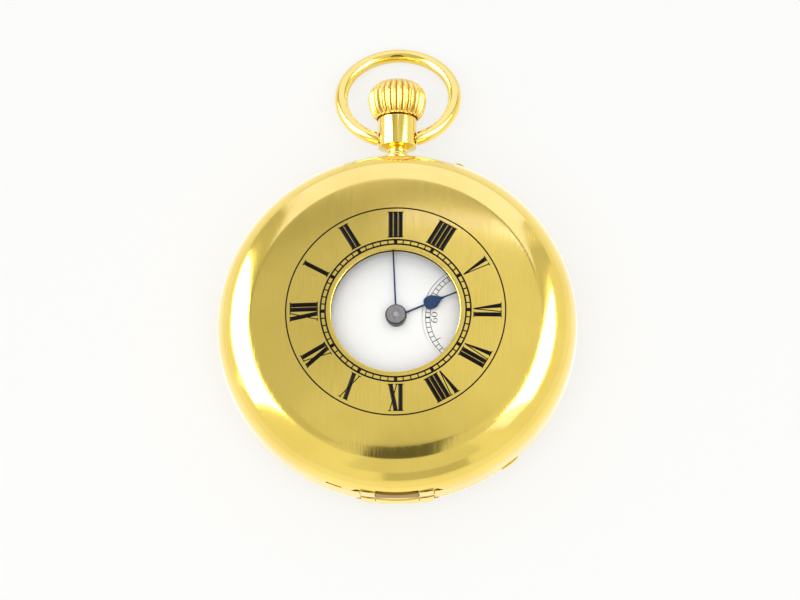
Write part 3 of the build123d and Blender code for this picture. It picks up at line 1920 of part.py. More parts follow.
def spade(start, wide, end, half, waist):
    """A leaf-shaped blade: a full round shoulder, then a long taper that ends hollow."""
    edges = [Line((start, -waist), (start, waist)), Line((end, -waist), (end, waist))]
    for side in (1, -1):
        low, brow, tip = (start, side * waist), (wide, side * half), (end, side * waist)
        edges += [
            Spline(low, brow, tangents=[(0, side), (1, 0)]),
            Spline(brow, tip, tangents=[(1, 0), (1, 0)]),
        ]
    return extrude(make_face(edges), hand_thickness)


def make_hour_hand():
    length, waist = hour_hand_length, hour_hand_stem_width / 2
    hand = rounded_plate(
        [(0, 0, waist), (length, 0, waist / 2)], 0, hand_thickness
    )
    hand += spade(
        spade_start_share * length,
        spade_wide_share * length,
        spade_end_share * length,
        spade_half_width,
        waist,
    )
    hand += spade(
        second_spade_start_share * length,
        second_spade_wide_share * length,
        length - waist,
        second_spade_half_width,
        waist / 2,
    )
    hand += disc(hour_hand_boss_radius, 0, hand_thickness)
    hand -= disc(hour_pipe_radius, -overrun, overrun)
    return Pos(0, 0, hour_hand_height) * Rot(0, 0, hour_hand_angle) * hand


def make_minute_hand():
    waist = minute_hand_tip_width / 2
    hand = rounded_plate(
        [(0, 0, waist), (minute_hand_length, 0, waist * 2 / 3)], 0, hand_thickness
    )
    top = hand_boss_top - minute_hand_height
    hand += turned_outline(
        (0, 0),
        (hand_boss_radius, 0),
        (hand_boss_radius, top - hand_boss_edge),
        (hand_boss_radius - hand_boss_edge, top),
        (0, top),
    )
    hand -= disc(centre_tip_radius, -overrun, overrun)
    return Pos(0, 0, minute_hand_height) * Rot(0, 0, minute_hand_angle) * hand


def make_seconds_hand():
    width = seconds_hand_width / 2
    hand = rounded_plate(
        [(-seconds_hand_tail, 0, width * 2), (seconds_hand_length, 0, width / 2)],
        0,
        hand_thickness / 2,
    )
    hand += disc(seconds_hand_boss_radius, 0, hand_thickness)
    hand -= disc(seconds_arbor_radius, -overrun, overrun)
    return Pos(*fourth_place, seconds_hand_height) * Rot(0, 0, seconds_hand_angle) * hand


def make_hinge_pins():
    half = hinge_pin_half_width - fit_gap
    pins = [
        hinge_middle(hinge_pin_radius, half, hinge_y, z)
        for z in (lid_joint_height, back_joint_height)
    ]
    pins.append(
        hinge_middle(
            cuvette_pin_radius,
            cuvette_hinge_half_width - fit_gap,
            cuvette_hinge_y,
            cuvette_hinge_z,
        )
    )
    return group(*pins)


def make_lift_spring():
    """A bowed blade let into a groove of the band beside the lid's hinge."""
    low = lid_joint_height - lift_spring_height - lift_spring_groove_gap
    return sector(
        lift_spring_inner,
        lift_spring_outer,
        low,
        low + lift_spring_height,
        lift_spring_start,
        lift_spring_sweep,
    )


pieces = {
    "case_middle": make_case_middle,
    "pendant": make_pendant,
    "bezel": make_bezel,
    "dial_glass": make_dial_glass,
    "hinge_pins": make_hinge_pins,
    "lift_spring": make_lift_spring,
    "pin_guard": make_pin_guard,
    "case_screws": make_case_screws,
    "front_lid": make_front_lid,
    "lid_glass": make_lid_glass,
    "lid_glass_ring": make_lid_glass_ring,
    "back_cover": make_back_cover,
    "cuvette": make_cuvette,
    "bow": make_bow,
    "crown": make_crown,
    "winding_stem": make_winding_stem,
    "winding_pinion": make_winding_pinion,
    "sliding_pinion": make_sliding_pinion,
    "lid_catch": make_lid_catch,
    "set_pin": make_set_pin,
    "setting_lever": make_setting_lever,
    "crown_wheel": make_crown_wheel,
    "crown_wheel_screw": lambda: cap_screw(crown_wheel_place),
    "ratchet_wheel": make_ratchet_wheel,
    "ratchet_screw": lambda: cap_screw(barrel_place),
    "click": make_click,
    "click_screw": make_click_screw,
    "click_spring": make_click_spring,
    "main_plate": make_main_plate,
    "barrel_bridge": make_barrel_bridge,
    "train_bridge": make_train_bridge,
    "balance_cock": make_balance_cock,
    "pallet_cock": make_pallet_cock,
    "jewels": make_jewels,
    "bridge_screws": make_bridge_screws,
    "dial": make_dial,
    "seconds_dial": make_seconds_dial,
    "dial_feet": make_dial_feet,
    "regulator": make_regulator,
    "barrel": make_barrel,
    "barrel_cover": make_barrel_cover,
    "mainspring": make_mainspring,
    "barrel_arbor": make_barrel_arbor,
    "centre_wheel": make_centre_wheel,
    "third_wheel": make_third_wheel,
    "fourth_wheel": make_fourth_wheel,
    "escape_wheel": make_escape_wheel,
    "pallet_lever": make_pallet_lever,
    "pallet_stones": make_pallet_stones,
    "balance_wheel": make_balance_wheel,
    "balance_staff": make_balance_staff,
    "roller": make_roller,
    "hairspring": make_hairspring,
    "cannon_pinion": make_cannon_pinion,
    "minute_wheel": make_minute_wheel,
    "hour_wheel": make_hour_wheel,
    "setting_wheel": make_setting_wheel,
    "minute_hand": make_minute_hand,
    "hour_hand": make_hour_hand,
    "seconds_hand": make_seconds_hand,
}

os.makedirs("parts", exist_ok=True)
for name, make in pieces.items():
    save(name, make())
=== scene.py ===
import json
from math import asin, atan2, cos, pi, radians, sin, sqrt

import bmesh
import bpy
import numpy as np
from mathutils import Matrix, Vector


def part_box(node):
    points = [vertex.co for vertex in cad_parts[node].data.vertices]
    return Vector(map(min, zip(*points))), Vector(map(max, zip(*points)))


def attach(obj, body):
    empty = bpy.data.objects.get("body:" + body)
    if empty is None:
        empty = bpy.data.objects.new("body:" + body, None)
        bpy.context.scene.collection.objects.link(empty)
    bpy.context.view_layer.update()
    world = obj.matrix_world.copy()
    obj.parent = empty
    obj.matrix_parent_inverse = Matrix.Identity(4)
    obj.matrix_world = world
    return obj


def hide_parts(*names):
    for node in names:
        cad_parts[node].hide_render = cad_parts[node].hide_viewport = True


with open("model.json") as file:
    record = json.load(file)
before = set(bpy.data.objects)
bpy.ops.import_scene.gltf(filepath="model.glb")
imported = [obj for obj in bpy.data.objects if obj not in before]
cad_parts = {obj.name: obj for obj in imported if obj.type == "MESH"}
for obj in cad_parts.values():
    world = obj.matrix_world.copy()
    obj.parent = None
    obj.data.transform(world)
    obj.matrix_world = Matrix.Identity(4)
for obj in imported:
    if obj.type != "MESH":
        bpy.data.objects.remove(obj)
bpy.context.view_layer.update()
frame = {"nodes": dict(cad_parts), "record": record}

bl_info = {
    "name": "Half hunter pocket watch",
    "version": (1, 0, 0),
    "blender": (4, 5, 0),
    "location": "3D View > Sidebar > Watch",
    "description": "Dresses the packed watch: case, enamelled cover, dial, hands and works",
    "category": "Object",
}

MM = 0.001
TURN = 2 * pi
PICTURE_WIDTH = 800
# Slices round a full turn of a lathed piece, and steps along a curved stretch of its outline
SLICES = 300
STEPS = 28
# A lathed piece ends at this radius where it closes on its axis, and a rod at this one
ON_AXIS = 1e-3
ROD_AXIS = 1e-4
# Cutters reach this far, past everything of the watch
PAST = 30.0

# The hinge's two axes run along X, at this place along Y and at these heights. The covers'
# tubes have this radius and bore, and lie from one to the other of two places off the middle
HINGE_Y = -24.42
HINGE_LID, HINGE_BACK = 7.5, 5.1
TUBE_RADIUS, TUBE_BORE, BORE_HALF = 0.95, 0.33, 4.0
TUBE_FROM, TUBE_TO, TUBE_GAP = 3.1, 5.1, 0.1
TUBE_PROUD, TUBE_RIM_TOP = 0.15, 14.0
# The slot cut for them: half its length, half its height and its rounding
SLOT_REACH, SLOT_RISE, SLOT_ROUND = 6.45, 0.8, 1.2


# Sizes and colours


def length(name, description, default, top=60.0):
    """A length in millimetres."""
    return bpy.props.FloatProperty(
        name=name, description=description, default=default, min=0.0, max=top, precision=3
    )


def colour(name, description, default):
    return bpy.props.FloatVectorProperty(
        name=name,
        description=description,
        default=default,
        size=3,
        min=0.0,
        max=1.0,
        subtype="COLOR",
    )


def share(name, description, default):
    return bpy.props.FloatProperty(
        name=name, description=description, default=default, min=0.0, max=1.0
    )


def angle(name, description, degrees):
    return bpy.props.FloatProperty(
        name=name, description=description, default=radians(degrees), subtype="ANGLE"
    )


class CaseSettings(bpy.types.PropertyGroup):
    radius: length("Case radius", "Half the width of the closed case", 25.0)
    lid_apex: length("Cover top", "Where the front cover's dome would peak", 14.2)
    lid_dome: length("Cover dome", "Radius of the front cover's dome", 190.0, 400.0)
    lid_rounding: length("Cover edge", "Radius of the front cover's rounded edge", 5.8)
    lid_wall: length("Cover wall", "Thickness of the front cover", 0.45)
    lid_joint: length("Cover joint", "Height at which the front cover closes", 7.55)
    back_flat: length("Back flat", "Radius of the flat in the middle of the back", 10.0)
    back_rounding: length("Back edge", "Radius of the back cover's rounded edge", 4.6)
    back_wall: length("Back wall", "Thickness of the back cover", 0.5)
    back_joint: length("Back joint", "Height at which the back cover closes", 5.05)
    aperture: length("Aperture", "Radius of the opening in the front cover", 9.0)
    aperture_lip: length("Aperture lip", "Thickness of metal over the glass", 0.3)
    glass_seat: length("Glass seat", "Radius of the cover glass's seat", 9.5)
    glass_rim: length("Glass rim", "Width of the rim inside the cover", 1.3)
    shoulder: length("Shoulder", "Half the width of the flat under the pendant", 6.3)
    gold: colour("Gold", "Colour of the case", (0.92, 0.695, 0.13))
    polish: share("Polish roughness", "Roughness of the polished gold", 0.1)
    satin: share("Satin roughness", "Roughness of the worn flat of the front cover", 0.13)
    tab_half: length("Catch tab", "Half the width of the front cover's catch tab", 1.8)
    tab_low: length("Tab foot", "Height at which the catch tab starts", 8.6)
    tab_top: length("Tab top", "Height at which the catch tab ends inside the cover", 10.6)
    tab_gap: length("Tab gap", "How far behind the flat the catch tab stands", 0.05)
    tab_wall: length("Tab wall", "Thickness of the catch tab", 0.35)
    ledge_reach: length("Tab ledge", "How far the ledge that the catch holds reaches in", 0.7)
    ledge_tall: length("Ledge height", "Thickness of that ledge", 0.3)
    notch_radius: length("Nail notch", "Radius of the nail notch in the cover's edge", 0.55)
    notch_half: length("Notch length", "Half the length of the nail notch", 1.15)
    notch_reach: length("Notch place", "How far off the middle the nail notch is", 24.9)
    notch_height: length("Notch height", "Height of the nail notch", 7.4)
    notch_turn: angle("Notch bearing", "Bearing of the nail notch off the hinge", -20.6)
    lip_bearing: angle("Lip bearing", "Bearing of the back cover's thumb lip", -51.3)
    lip_half: length("Lip length", "Half the length of the thumb lip", 1.5)
    lip_reach: length("Lip reach", "How far the thumb lip stands out", 0.16)
    lip_tall: length("Lip height", "Height of the thumb lip", 0.5)
    lip_bevel: length("Lip bevel", "Bevel of the thumb lip's edges", 0.08)


class NumeralSettings(bpy.types.PropertyGroup):
    outer_line: length("Outer circle", "Radius of the thin circle round the numerals", 15.28)
    line_width: length("Line width", "Width of the thin circle", 0.2)
    base: length("Numeral base", "Radius at which the numerals stand", 10.8)
    top: length("Numeral top", "Radius at which the numerals end", 14.72)
    track_outer: length("Track outer", "Radius of the minute track's outer line", 10.46)
    track_inner: length("Track inner", "Radius of the minute track's inner line", 9.8)
    track_width: length("Track line", "Width of the minute track's lines", 0.24)
    mark_width: length("Minute mark", "Width of a minute's mark", 0.17)
    block_width: length("Five-minute mark", "Width of a five-minute mark", 0.5)
    proud: length("Enamel stands proud", "How far the enamel stands out", 0.012)
    enamel: colour("Enamel", "Colour of the black enamel", (0.007, 0.005, 0.004))


class DialSettings(bpy.types.PropertyGroup):
    top: length("Dial top", "Height of the dial's face", 11.1)
    seconds_x: length("Seconds offset", "How far the seconds dial lies off the middle", 11.35)
    seconds_top: length("Seconds top", "Height of the sunk seconds dial", 10.85)
    seconds_outer: length("Seconds track outer", "Radius of its outer line", 7.29)
    seconds_inner: length("Seconds track inner", "Radius of its inner line", 6.66)
    seconds_clear: length("Seconds clear", "How near to its middle the minute track comes", 8.3)
    mark_width: length("Minute mark", "Width of a minute's mark", 0.08)
    block_width: length("Five-minute mark", "Width of a five-minute mark", 0.3)
    seconds_mark: length("Seconds mark", "Width of a second's mark", 0.11)
    sixty_mark: length("Sixty mark", "Width of the mark at 60", 0.24)
    fives_mark: length("Fives mark", "Width of the longer marks at the fives", 0.12)
    fives_reach: length("Fives reach", "How far in the marks at the fives reach", 0.65)
    sixty_foot: length("Sixty foot", "How far off their middle the figures 60 stand", 5.61)
    sixty_tall: length("Sixty height", "Height of the figures 60", 0.92)
    print_width: length("Print line", "Width of the printed lines", 0.085)
    print_proud: length("Print proud", "How far the print stands out", 0.006)
    print_depth: length("Print depth", "How deep the print reaches", 0.01)
    base: length("Numeral base", "Radius at which the dial's numerals stand", 12.2)
    numeral_top: length("Numeral top", "Radius at which the dial's numerals end", 16.3)
    track_outer: length("Minute track outer", "Radius of its outer line", 18.1)
    track_inner: length("Minute track inner", "Radius of its inner line", 17.3)
    hub_radius: length("Hub radius", "Radius of the minute hand's grey hub", 1.5)
    arbor_from: length("Arbor", "Height past which the centre wheel's arbor is steel", 9.0)
    white: colour("Enamel white", "Colour of the dial", (0.95, 0.95, 0.94))
    ink: colour("Ink", "Colour of the fired print", (0.035, 0.035, 0.04))


class PendantSettings(bpy.types.PropertyGroup):
    height: length("Pendant height", "Height of the pendant's axis", 6.3)
    foot: length("Foot", "Where the pendant's foot rests on the case", 24.2)
    foot_radius: length("Foot radius", "Radius of the pendant's foot", 3.1)
    foot_tall: length("Foot height", "Thickness of the pendant's foot", 0.42)
    foot_sunk: length("Foot sunk", "How far the foot reaches into the case", 0.3)
    neck_radius: length("Neck radius", "Radius of the narrow neck", 1.35)
    bead: length("Bead", "How far past the foot the neck's bead is", 1.1)
    bead_half: length("Bead height", "Half the bead's height", 0.4)
    bead_reach: length("Bead reach", "How far the bead stands out", 0.26)
    collar: length("Collar", "Where the collar starts", 26.95)
    collar_radius: length("Collar radius", "Radius of the collar", 2.715)
    top: length("Collar end", "Where the collar ends, inside the crown", 31.1)
    bore: length("Bore", "Radius of the stem's bore", 1.35)
    pivot: length("Bow pivot", "Where the bow's pivots are", 28.25)
    pivot_radius: length("Pivot radius", "Radius of the bow's pivots", 0.6)
    pivot_from: length("Pivot hole", "How far off the middle the pivots' holes start", 1.94)
    pivot_play: length("Pivot play", "Room round the pivots in their holes", 0.04)
    pivot_gap: length("Pivot gap", "Room at the inner end of each pivot", 0.06)
    loop: length("Bow radius", "Radius of the bow's middle line", 7.945)
    wire: length("Bow wire", "Radius of the bow's wire", 0.93)
    bow_end: length("Bow end", "How far off the middle the bow's ends are", 2.795)
    crown_base: length("Crown base", "Where the crown starts", 31.22)
    crown_waist: length("Crown waist", "Where the crown is widest", 34.15)
    crown_top: length("Crown end", "Where the crown ends", 36.8)
    crown_radius: length("Crown radius", "Radius of the crown over its ridges", 4.05)
    crown_foot: length("Crown foot", "Radius at which the crown's lower oval starts", 2.55)
    crown_skirt: length("Crown skirt", "Radius inside the crown's skirt", 2.83)
    crown_hollow: length("Crown hollow", "Depth of the hollow inside the skirt", 1.5)
    ridges: bpy.props.IntProperty(
        name="Ridges", description="Number of ridges round the crown", default=26, min=8
    )
    flute: length("Flute depth", "Depth of the crown's grooves", 0.34)
    groove_clear: length("Groove clear", "Metal left between the grooves and the hollow", 0.08)


class StageSettings(bpy.types.PropertyGroup):
    pixels_per_mm: bpy.props.FloatProperty(
        name="Scale", description="Pixels for a millimetre at the pendant's height", default=7.18
    )
    distance: length("Camera distance", "From the camera to the watch", 2400.0, 5000.0)
    elevation: angle("Elevation", "The camera's angle above the horizon", 70.0)
    lean: angle("Lean", "How far the camera stands over to the right", 1.8)
    aim_x: length("Aim across", "Where the middle of the picture falls, across", 0.362)
    aim_y: length("Aim along", "Where the middle of the picture falls, along", 4.298)
    aim_z: length("Aim height", "Height of the point that the scale is given for", 6.3)
    ground: colour("Ground", "Colour of the paper under the watch", (0.94, 0.94, 0.93))


# Meshes from whole arrays


def grid_faces(rows, columns, wrap_rows=False, wrap_columns=False):
    """Quads between neighbouring rows and columns of a numbered grid."""
    i = np.arange(rows if wrap_rows else rows - 1)[:, None]
    j = np.arange(columns if wrap_columns else columns - 1)[None, :]
    i2, j2 = (i + 1) % rows, (j + 1) % columns
    corners = [i * columns + j, i * columns + j2, i2 * columns + j2, i2 * columns + j]
    return np.stack(np.broadcast_arrays(*corners), -1).reshape(-1, 4)


def mesh_object(name, points, faces, merge=1e-7):
    """A mesh from points in millimetres and quads, with its doubles merged."""
    mesh = bpy.data.meshes.new(name)
    points = np.asarray(points, float).reshape(-1, 3) * MM
    mesh.vertices.add(len(points))
    mesh.vertices.foreach_set("co", points.astype(np.float32).ravel())
    mesh.loops.add(faces.size)
    mesh.loops.foreach_set("vertex_index", faces.astype(np.int32).ravel())
    mesh.polygons.add(len(faces))
    mesh.polygons.foreach_set("loop_start", np.arange(0, faces.size, 4, dtype=np.int32))
    mesh.update(calc_edges=True)
    mesh.validate()
    shape = bmesh.new()
    shape.from_mesh(mesh)
    bmesh.ops.remove_doubles(shape, verts=shape.verts, dist=merge)
    bmesh.ops.recalc_face_normals(shape, faces=shape.faces)
    shape.to_mesh(mesh)
    shape.free()
    piece = bpy.data.objects.new(name, mesh)
    bpy.context.scene.collection.objects.link(piece)
    return piece


def smooth(piece, angle=30.0):
    """Shade smooth, but keep edges sharper than this angle crisp."""
    mesh = piece.data
    mesh.polygons.foreach_set("use_smooth", np.ones(len(mesh.polygons), bool))
    mesh.set_sharp_from_angle(angle=radians(angle))
    return piece


def around(radius, turn, height):
    """The points (r cos u, r sin u, z)."""
    places = radius * np.cos(turn), radius * np.sin(turn), height
    return np.stack(np.broadcast_arrays(*places), axis=-1)


def full_turn(slices):
    return np.arange(slices) * TURN / slices


def lathe(name, outline, slices=SLICES):
    """Turn an outline of points (r, z) about Z."""
    outline = np.asarray(outline, float)
    points = around(outline[:, :1], full_turn(slices), outline[:, 1:])
    return mesh_object(name, points, grid_faces(len(outline), slices, True, True))


def joined(*parts):
    """One outline from stretches of points, without a point twice in a row."""
    points = np.concatenate([np.asarray(p, float).reshape(-1, 2) for p in parts])
    step = np.abs(np.diff(points, axis=0, append=points[:1])).sum(axis=1)
    return points[step > 1e-6]


def rounded(corner, before, after, radius, steps=6):
    """A quarter-like bend: q = (1-t)^2 a + 2t(1-t) c + t^2 b, a and b near the corner."""
    corner, before, after = (np.asarray(p, float) for p in (corner, before, after))
    start = corner + (before - corner) * radius / np.linalg.norm(before - corner)
    end = corner + (after - corner) * radius / np.linalg.norm(after - corner)
    t = np.linspace(0, 1, steps)[:, None]
    return (1 - t) ** 2 * start + 2 * t * (1 - t) * corner + t**2 * end


def combine(piece, tool, operation="DIFFERENCE"):
    """Cut a tool out of a piece, or add it, and keep the result as the piece's mesh."""
    modifier = piece.modifiers.new("cut", "BOOLEAN")
    modifier.operation, modifier.solver, modifier.object = operation, "EXACT", tool
    bpy.context.view_layer.update()
    graph = bpy.context.evaluated_depsgraph_get()
    result = bpy.data.meshes.new_from_object(piece.evaluated_get(graph))
    piece.modifiers.remove(modifier)
    piece.data = result
    result.name = piece.name
    bpy.data.objects.remove(tool)
    return piece


def box_tool(low, high):
    """A plain cutter between two corners."""
    low, high = np.asarray(low, float), np.asarray(high, float)
    pick = np.array([[0, 0], [1, 0], [1, 1], [0, 1]])
    ring = low[:2] + pick * (high - low)[:2]
    points = [np.column_stack([ring, np.full(4, z)]) for z in (low[2], high[2])]
    faces = np.array(
        [[0, 3, 2, 1], [4, 5, 6, 7], [0, 1, 5, 4], [1, 2, 6, 5], [2, 3, 7, 6], [3, 0, 4, 7]]
    )
    return mesh_object("cutter", np.concatenate(points), faces)


def rod(name, radius, start, end, place):
    """A bar along X at place (y, z)."""
    outline = [(ROD_AXIS, start), (radius, start), (radius, end), (ROD_AXIS, end)]
    piece = lathe(name, outline, 64)
    turn = Matrix.Translation(Vector((0, *place)) * MM)
    piece.data.transform(turn @ Matrix.Rotation(pi / 2, 4, "Y"))
    return piece


def along_pendant(piece, height):
    """Turn a piece built about Z to lie along Y at the pendant's height."""
    lift = Matrix.Translation(Vector((0, 0, height)) * MM)
    piece.data.transform(lift @ Matrix.Rotation(-pi / 2, 4, "X"))
    return piece


def merged(name, *pieces):
    """Several objects' meshes as one object."""
    shape = bmesh.new()
    for piece in pieces:
        shape.from_mesh(piece.data)
        bpy.data.objects.remove(piece)
    mesh = bpy.data.meshes.new(name)
    shape.to_mesh(mesh)
    shape.free()
    whole = bpy.data.objects.new(name, mesh)
    bpy.context.scene.collection.objects.link(whole)
    return whole


# Materials


class Field:
    """A shader socket that can be written into sums."""

    def __init__(self, finish, socket):
        self.finish, self.socket = finish, socket

    def maths(self, operation, *values):
        return self.finish.maths(operation, *values)

    def __add__(self, other):
        return self.maths("ADD", self, other)

    __radd__ = __add__

    def __sub__(self, other):
        return self.maths("SUBTRACT", self, other)

    def __rsub__(self, other):
        return self.maths("SUBTRACT", other, self)

    def __mul__(self, other):
        return self.maths("MULTIPLY", self, other)

    __rmul__ = __mul__

    def __truediv__(self, other):
        return self.maths("DIVIDE", self, other)

    def __pow__(self, other):
        return self.maths("POWER", self, other)


class Finish:
    """A material and the one way in which its nodes are made."""

    def __init__(self, name, **surface):
        self.material = bpy.data.materials.new(name)
        self.material.use_nodes = True
        self.tree = self.material.node_tree
        self.shader = self.tree.nodes["Principled BSDF"]
        for socket, value in surface.items():
            self.feed(socket.replace("_", " "), value)

    def feed(self, socket, value):
        """Give one socket of the surface a value or a field."""
        self.give(self.shader.inputs[socket], value)

    def give(self, socket, value):
        if isinstance(value, Field):
            self.tree.links.new(value.socket, socket)
        elif isinstance(value, (tuple, list)) and socket.type == "RGBA" and len(value) == 3:
            socket.default_value = (*value, 1.0)
        else:
            socket.default_value = value

    def node(self, kind, settings=None, inputs=None, output=0):
        """Any node: its settings first, then the values or links of its sockets."""
        node = self.tree.nodes.new(kind)
        for key, value in (settings or {}).items():
            setattr(node, key, value)
        for key, value in (inputs or {}).items():
            self.give(node.inputs[key], value)
        return Field(self, node.outputs[output])

    def here(self):
        """Where the shaded point lies: its object coordinates in millimetres."""
        point = self.node("ShaderNodeTexCoord", output="Object")
        parts = self.node("ShaderNodeSeparateXYZ", inputs={0: point}).socket.node.outputs
        return [Field(self, part) / MM for part in parts]

    def noise(self, scale, detail, roughness=0.5, turn=(0, 0, 0), shift=(0, 0, 0)):
        """Noise on object coordinates, with the scale along each axis for a millimetre."""
        scale = scale if isinstance(scale, tuple) else (scale,) * 3
        point = self.node("ShaderNodeTexCoord", output="Object")
        placed = {
            "Vector": point,
            "Location": shift,
            "Rotation": tuple(radians(a) for a in turn),
            "Scale": tuple(s / MM for s in scale),
        }
        vector = self.node("ShaderNodeMapping", inputs=placed)
        inputs = {"Vector": vector, "Scale": 1.0, "Detail": detail, "Roughness": roughness}
        return self.node("ShaderNodeTexNoise", inputs=inputs)

    def span(self, value, low, high, start=0.0, end=1.0):
        """The value from low to high as a number from start to end, held at both."""
        return self.node(
            "ShaderNodeMapRange",
            {"clamp": True},
            {"Value": value, "From Min": low, "From Max": high, "To Min": start, "To Max": end},
        )

    def mix(self, share, first, second):
        """Two colours mixed. The node's colours are its inputs 6 and 7, and its output 2."""
        inputs = {0: share, 6: first, 7: second}
        return self.node("ShaderNodeMix", {"data_type": "RGBA"}, inputs, output=2)

    def maths(self, operation, *values):
        return self.node("ShaderNodeMath", {"operation": operation}, dict(enumerate(values)))

    def glow(self, tone, strength):
        return self.node("ShaderNodeEmission", inputs={"Color": tone, "Strength": strength})

    def end_with(self, surface):
        """Show this instead of the plain surface."""
        self.give(self.tree.nodes["Material Output"].inputs["Surface"], surface)

    def bump(self, height, strength, depth):
        inputs = {"Height": height, "Strength": strength, "Distance": depth * MM}
        self.feed("Normal", self.node("ShaderNodeBump", inputs=inputs))


def shaded(tone, *factors):
    """A colour with each of its parts made darker or lighter."""
    return tuple(part * factor for part, factor in zip(tone, factors))


def scratches(finish):
    """Fine straight scratches in several directions, as a height from 0 to 1."""
    fine, long, thin = 9.0, 0.12, 0.3
    total = 0
    for n, bearing in enumerate((12, 63, 101, 148)):
        shift = (3.1 * n, 1.7 * n, 0.4 * n)
        field = finish.noise((fine, long, thin), 1.5, 0.4, (0, 0, bearing), shift)
        total = finish.span(field, 0.62, 0.78) + total
    return total


# Painted shade: the dark brown of the upper hinge's middle knuckle, which stands for the shadow in
# its pocket
HINGE_POCKET_SHADE = (0.3, 0.17, 0.015)
# Scuffed patches of the front cover: their places across and along, and their radii
SCUFFS = ((19.4, 11.6, 2.6), (-15.0, 17.0, 2.4), (-21.5, -9.0, 1.8))
# The worn flat of the front cover fades out between these radii
WORN_FROM, WORN_TO = 14.0, 18.6


def gold_finish(name, settings, worn_flat=False):
    """Polished yellow gold with hairlines, with painted shade of the hinge's pocket, a dark
    brown, on the middle of the upper hinge, and dull where the flat of the cover is worn."""
    tone = tuple(settings.gold)
    finish = Finish(name, Metallic=1.0, Coat_Roughness=0.06)
    soft = finish.noise(0.09, 3.0, 0.55)
    shade = finish.mix(finish.span(soft, 0.35, 0.7), tone, shaded(tone, 0.93, 0.9, 0.78))
    x, y, z = finish.here()
    # Painted shade of the hinge pocket: near the upper hinge's axis, between the covers' tubes, the
    # gold is painted dark brown and loses its coat
    middle = finish.span(finish.maths("ABSOLUTE", x), TUBE_FROM - 0.05, TUBE_FROM, 1.0, 0.0)
    away = ((y - HINGE_Y) ** 2 + (z - HINGE_LID) ** 2) ** 0.5
    tube = finish.span(away, TUBE_RADIUS + 0.01, TUBE_RADIUS + 0.06, 1.0, 0.0) * middle
    shade = finish.mix(tube, shade, HINGE_POCKET_SHADE)
    finish.feed("Coat Weight", 0.8 - tube * 0.8)
    lines = scratches(finish)
    rough = finish.span(soft, 0.3, 0.75, settings.polish * 0.8, settings.polish * 1.35)
    if worn_flat:
        flat = finish.span((x * x + y * y) ** 0.5, WORN_FROM, WORN_TO, 1.0, 0.0)
        brushed = finish.noise((9.0, 0.3, 1.0), 3.0, 0.6)
        streak = finish.span(brushed, 0.42, 0.68) * flat * 0.5 + lines * 0.12
        shade = finish.mix(streak, shade, shaded(tone, 0.8, 0.78, 0.7))
        pits = finish.noise(4.0, 3.0, 0.6)
        scuffed = 0.0
        for across, along, size in SCUFFS:
            away = ((x - across) ** 2 + (y - along) ** 2) ** 0.5
            scuffed = finish.span(away, size * 0.3, size, 1.0, 0.0) + scuffed
        rough = rough + flat * (settings.satin - settings.polish) + scuffed * 0.16
        finish.feed("Roughness", rough + lines * 0.05)
        finish.bump(lines * 0.6 + brushed * flat * 0.5 + pits * scuffed * 2.0, 0.16, 0.012)
    else:
        finish.feed("Roughness", rough + lines * 0.04)
        finish.bump(lines, 0.1, 0.01)
    finish.feed("Base Color", shade)
    return finish.material


def fluted_finish(name, settings):
    """Polished gold, duller, and painted with shade in a redder, darker gold where the attribute
    'groove' nears 1.
    """
    finish = Finish(name, Metallic=1.0, Coat_Weight=0.3, Coat_Roughness=0.1)
    # Painted shade: the flutes take a redder, darker gold for the shade that falls in them
    groove = finish.node("ShaderNodeAttribute", {"attribute_name": "groove"}, output=2)
    red_gold = (0.58, 0.31, 0.08)
    finish.feed("Base Color", finish.mix(groove, tuple(settings.gold), red_gold))
    grain = finish.noise(1.5, 2.0)
    rough = finish.span(grain, 0.3, 0.7, settings.polish * 1.6, settings.polish * 2.2)
    finish.feed("Roughness", rough + groove * 0.2)
    return finish.material


def pin_finish(name):
    """The redder gold of the hinge pins."""
    return Finish(name, Metallic=1.0, Roughness=0.3, Base_Color=(0.72, 0.38, 0.16)).material


def steel_finish(name):
    """Ground steel with a fine grain."""
    rough = 0.28
    finish = Finish(name, Metallic=1.0, Base_Color=(0.56, 0.57, 0.6))
    grain = finish.noise((20.0, 0.6, 20.0), 2.0)
    finish.feed("Roughness", finish.span(grain, 0.3, 0.7, rough * 0.8, rough * 1.2))
    finish.bump(grain, 0.08, 0.004)
    return finish.material


def blued_finish(name, hub=0.0):
    """Steel blued by heat, a little paler in places, and left grey within the hub, which
    ends in a dark line."""
    finish = Finish(name, Metallic=1.0, Roughness=0.24)
    blue = finish.mix(finish.noise(0.5, 1.0), (0.012, 0.04, 0.12), (0.03, 0.08, 0.2))
    if hub:
        grey = finish.mix(finish.noise(2.0, 3.0), (0.16, 0.16, 0.16), (0.52, 0.5, 0.47))
        x, y, z = finish.here()
        away = (x * x + y * y) ** 0.5
        edge = (0.05, 0.055, 0.07)
        grey = finish.mix(finish.span(away, hub - 0.24, hub - 0.12), grey, edge)
        blue = finish.mix(finish.span(away, hub, hub + 0.02), grey, blue)
    finish.feed("Base Color", blue)
    return finish.material


def gilt_finish(name, arbor=0.0):
    """Frosted gilding: brass with a very fine pitted grain, and steel above a height."""
    gilt, rough = (0.86, 0.6, 0.24), 0.34
    finish = Finish(name, Metallic=1.0, Base_Color=gilt)
    if arbor:
        x, y, z = finish.here()
        steel = finish.mix(finish.span(z, arbor, arbor + 0.05), gilt, (0.4, 0.4, 0.4))
        finish.feed("Base Color", steel)
    grain = finish.noise(28.0, 2.0, 0.7)
    finish.feed("Roughness", finish.span(grain, 0.3, 0.7, rough * 0.85, rough * 1.2))
    finish.bump(grain, 0.25, 0.006)
    return finish.material


def enamel_finish(name, tone):
    """Fired enamel: a hard gloss with a faint orange-peel."""
    finish = Finish(name, Roughness=0.16, Coat_Weight=0.4)
    cloud = finish.noise(0.35, 2.0)
    finish.feed("Base Color", finish.mix(cloud, tone, shaded(tone, 0.97, 0.97, 0.97)))
    finish.bump(finish.noise(1.5, 1.0), 0.06, 0.01)
    return finish.material


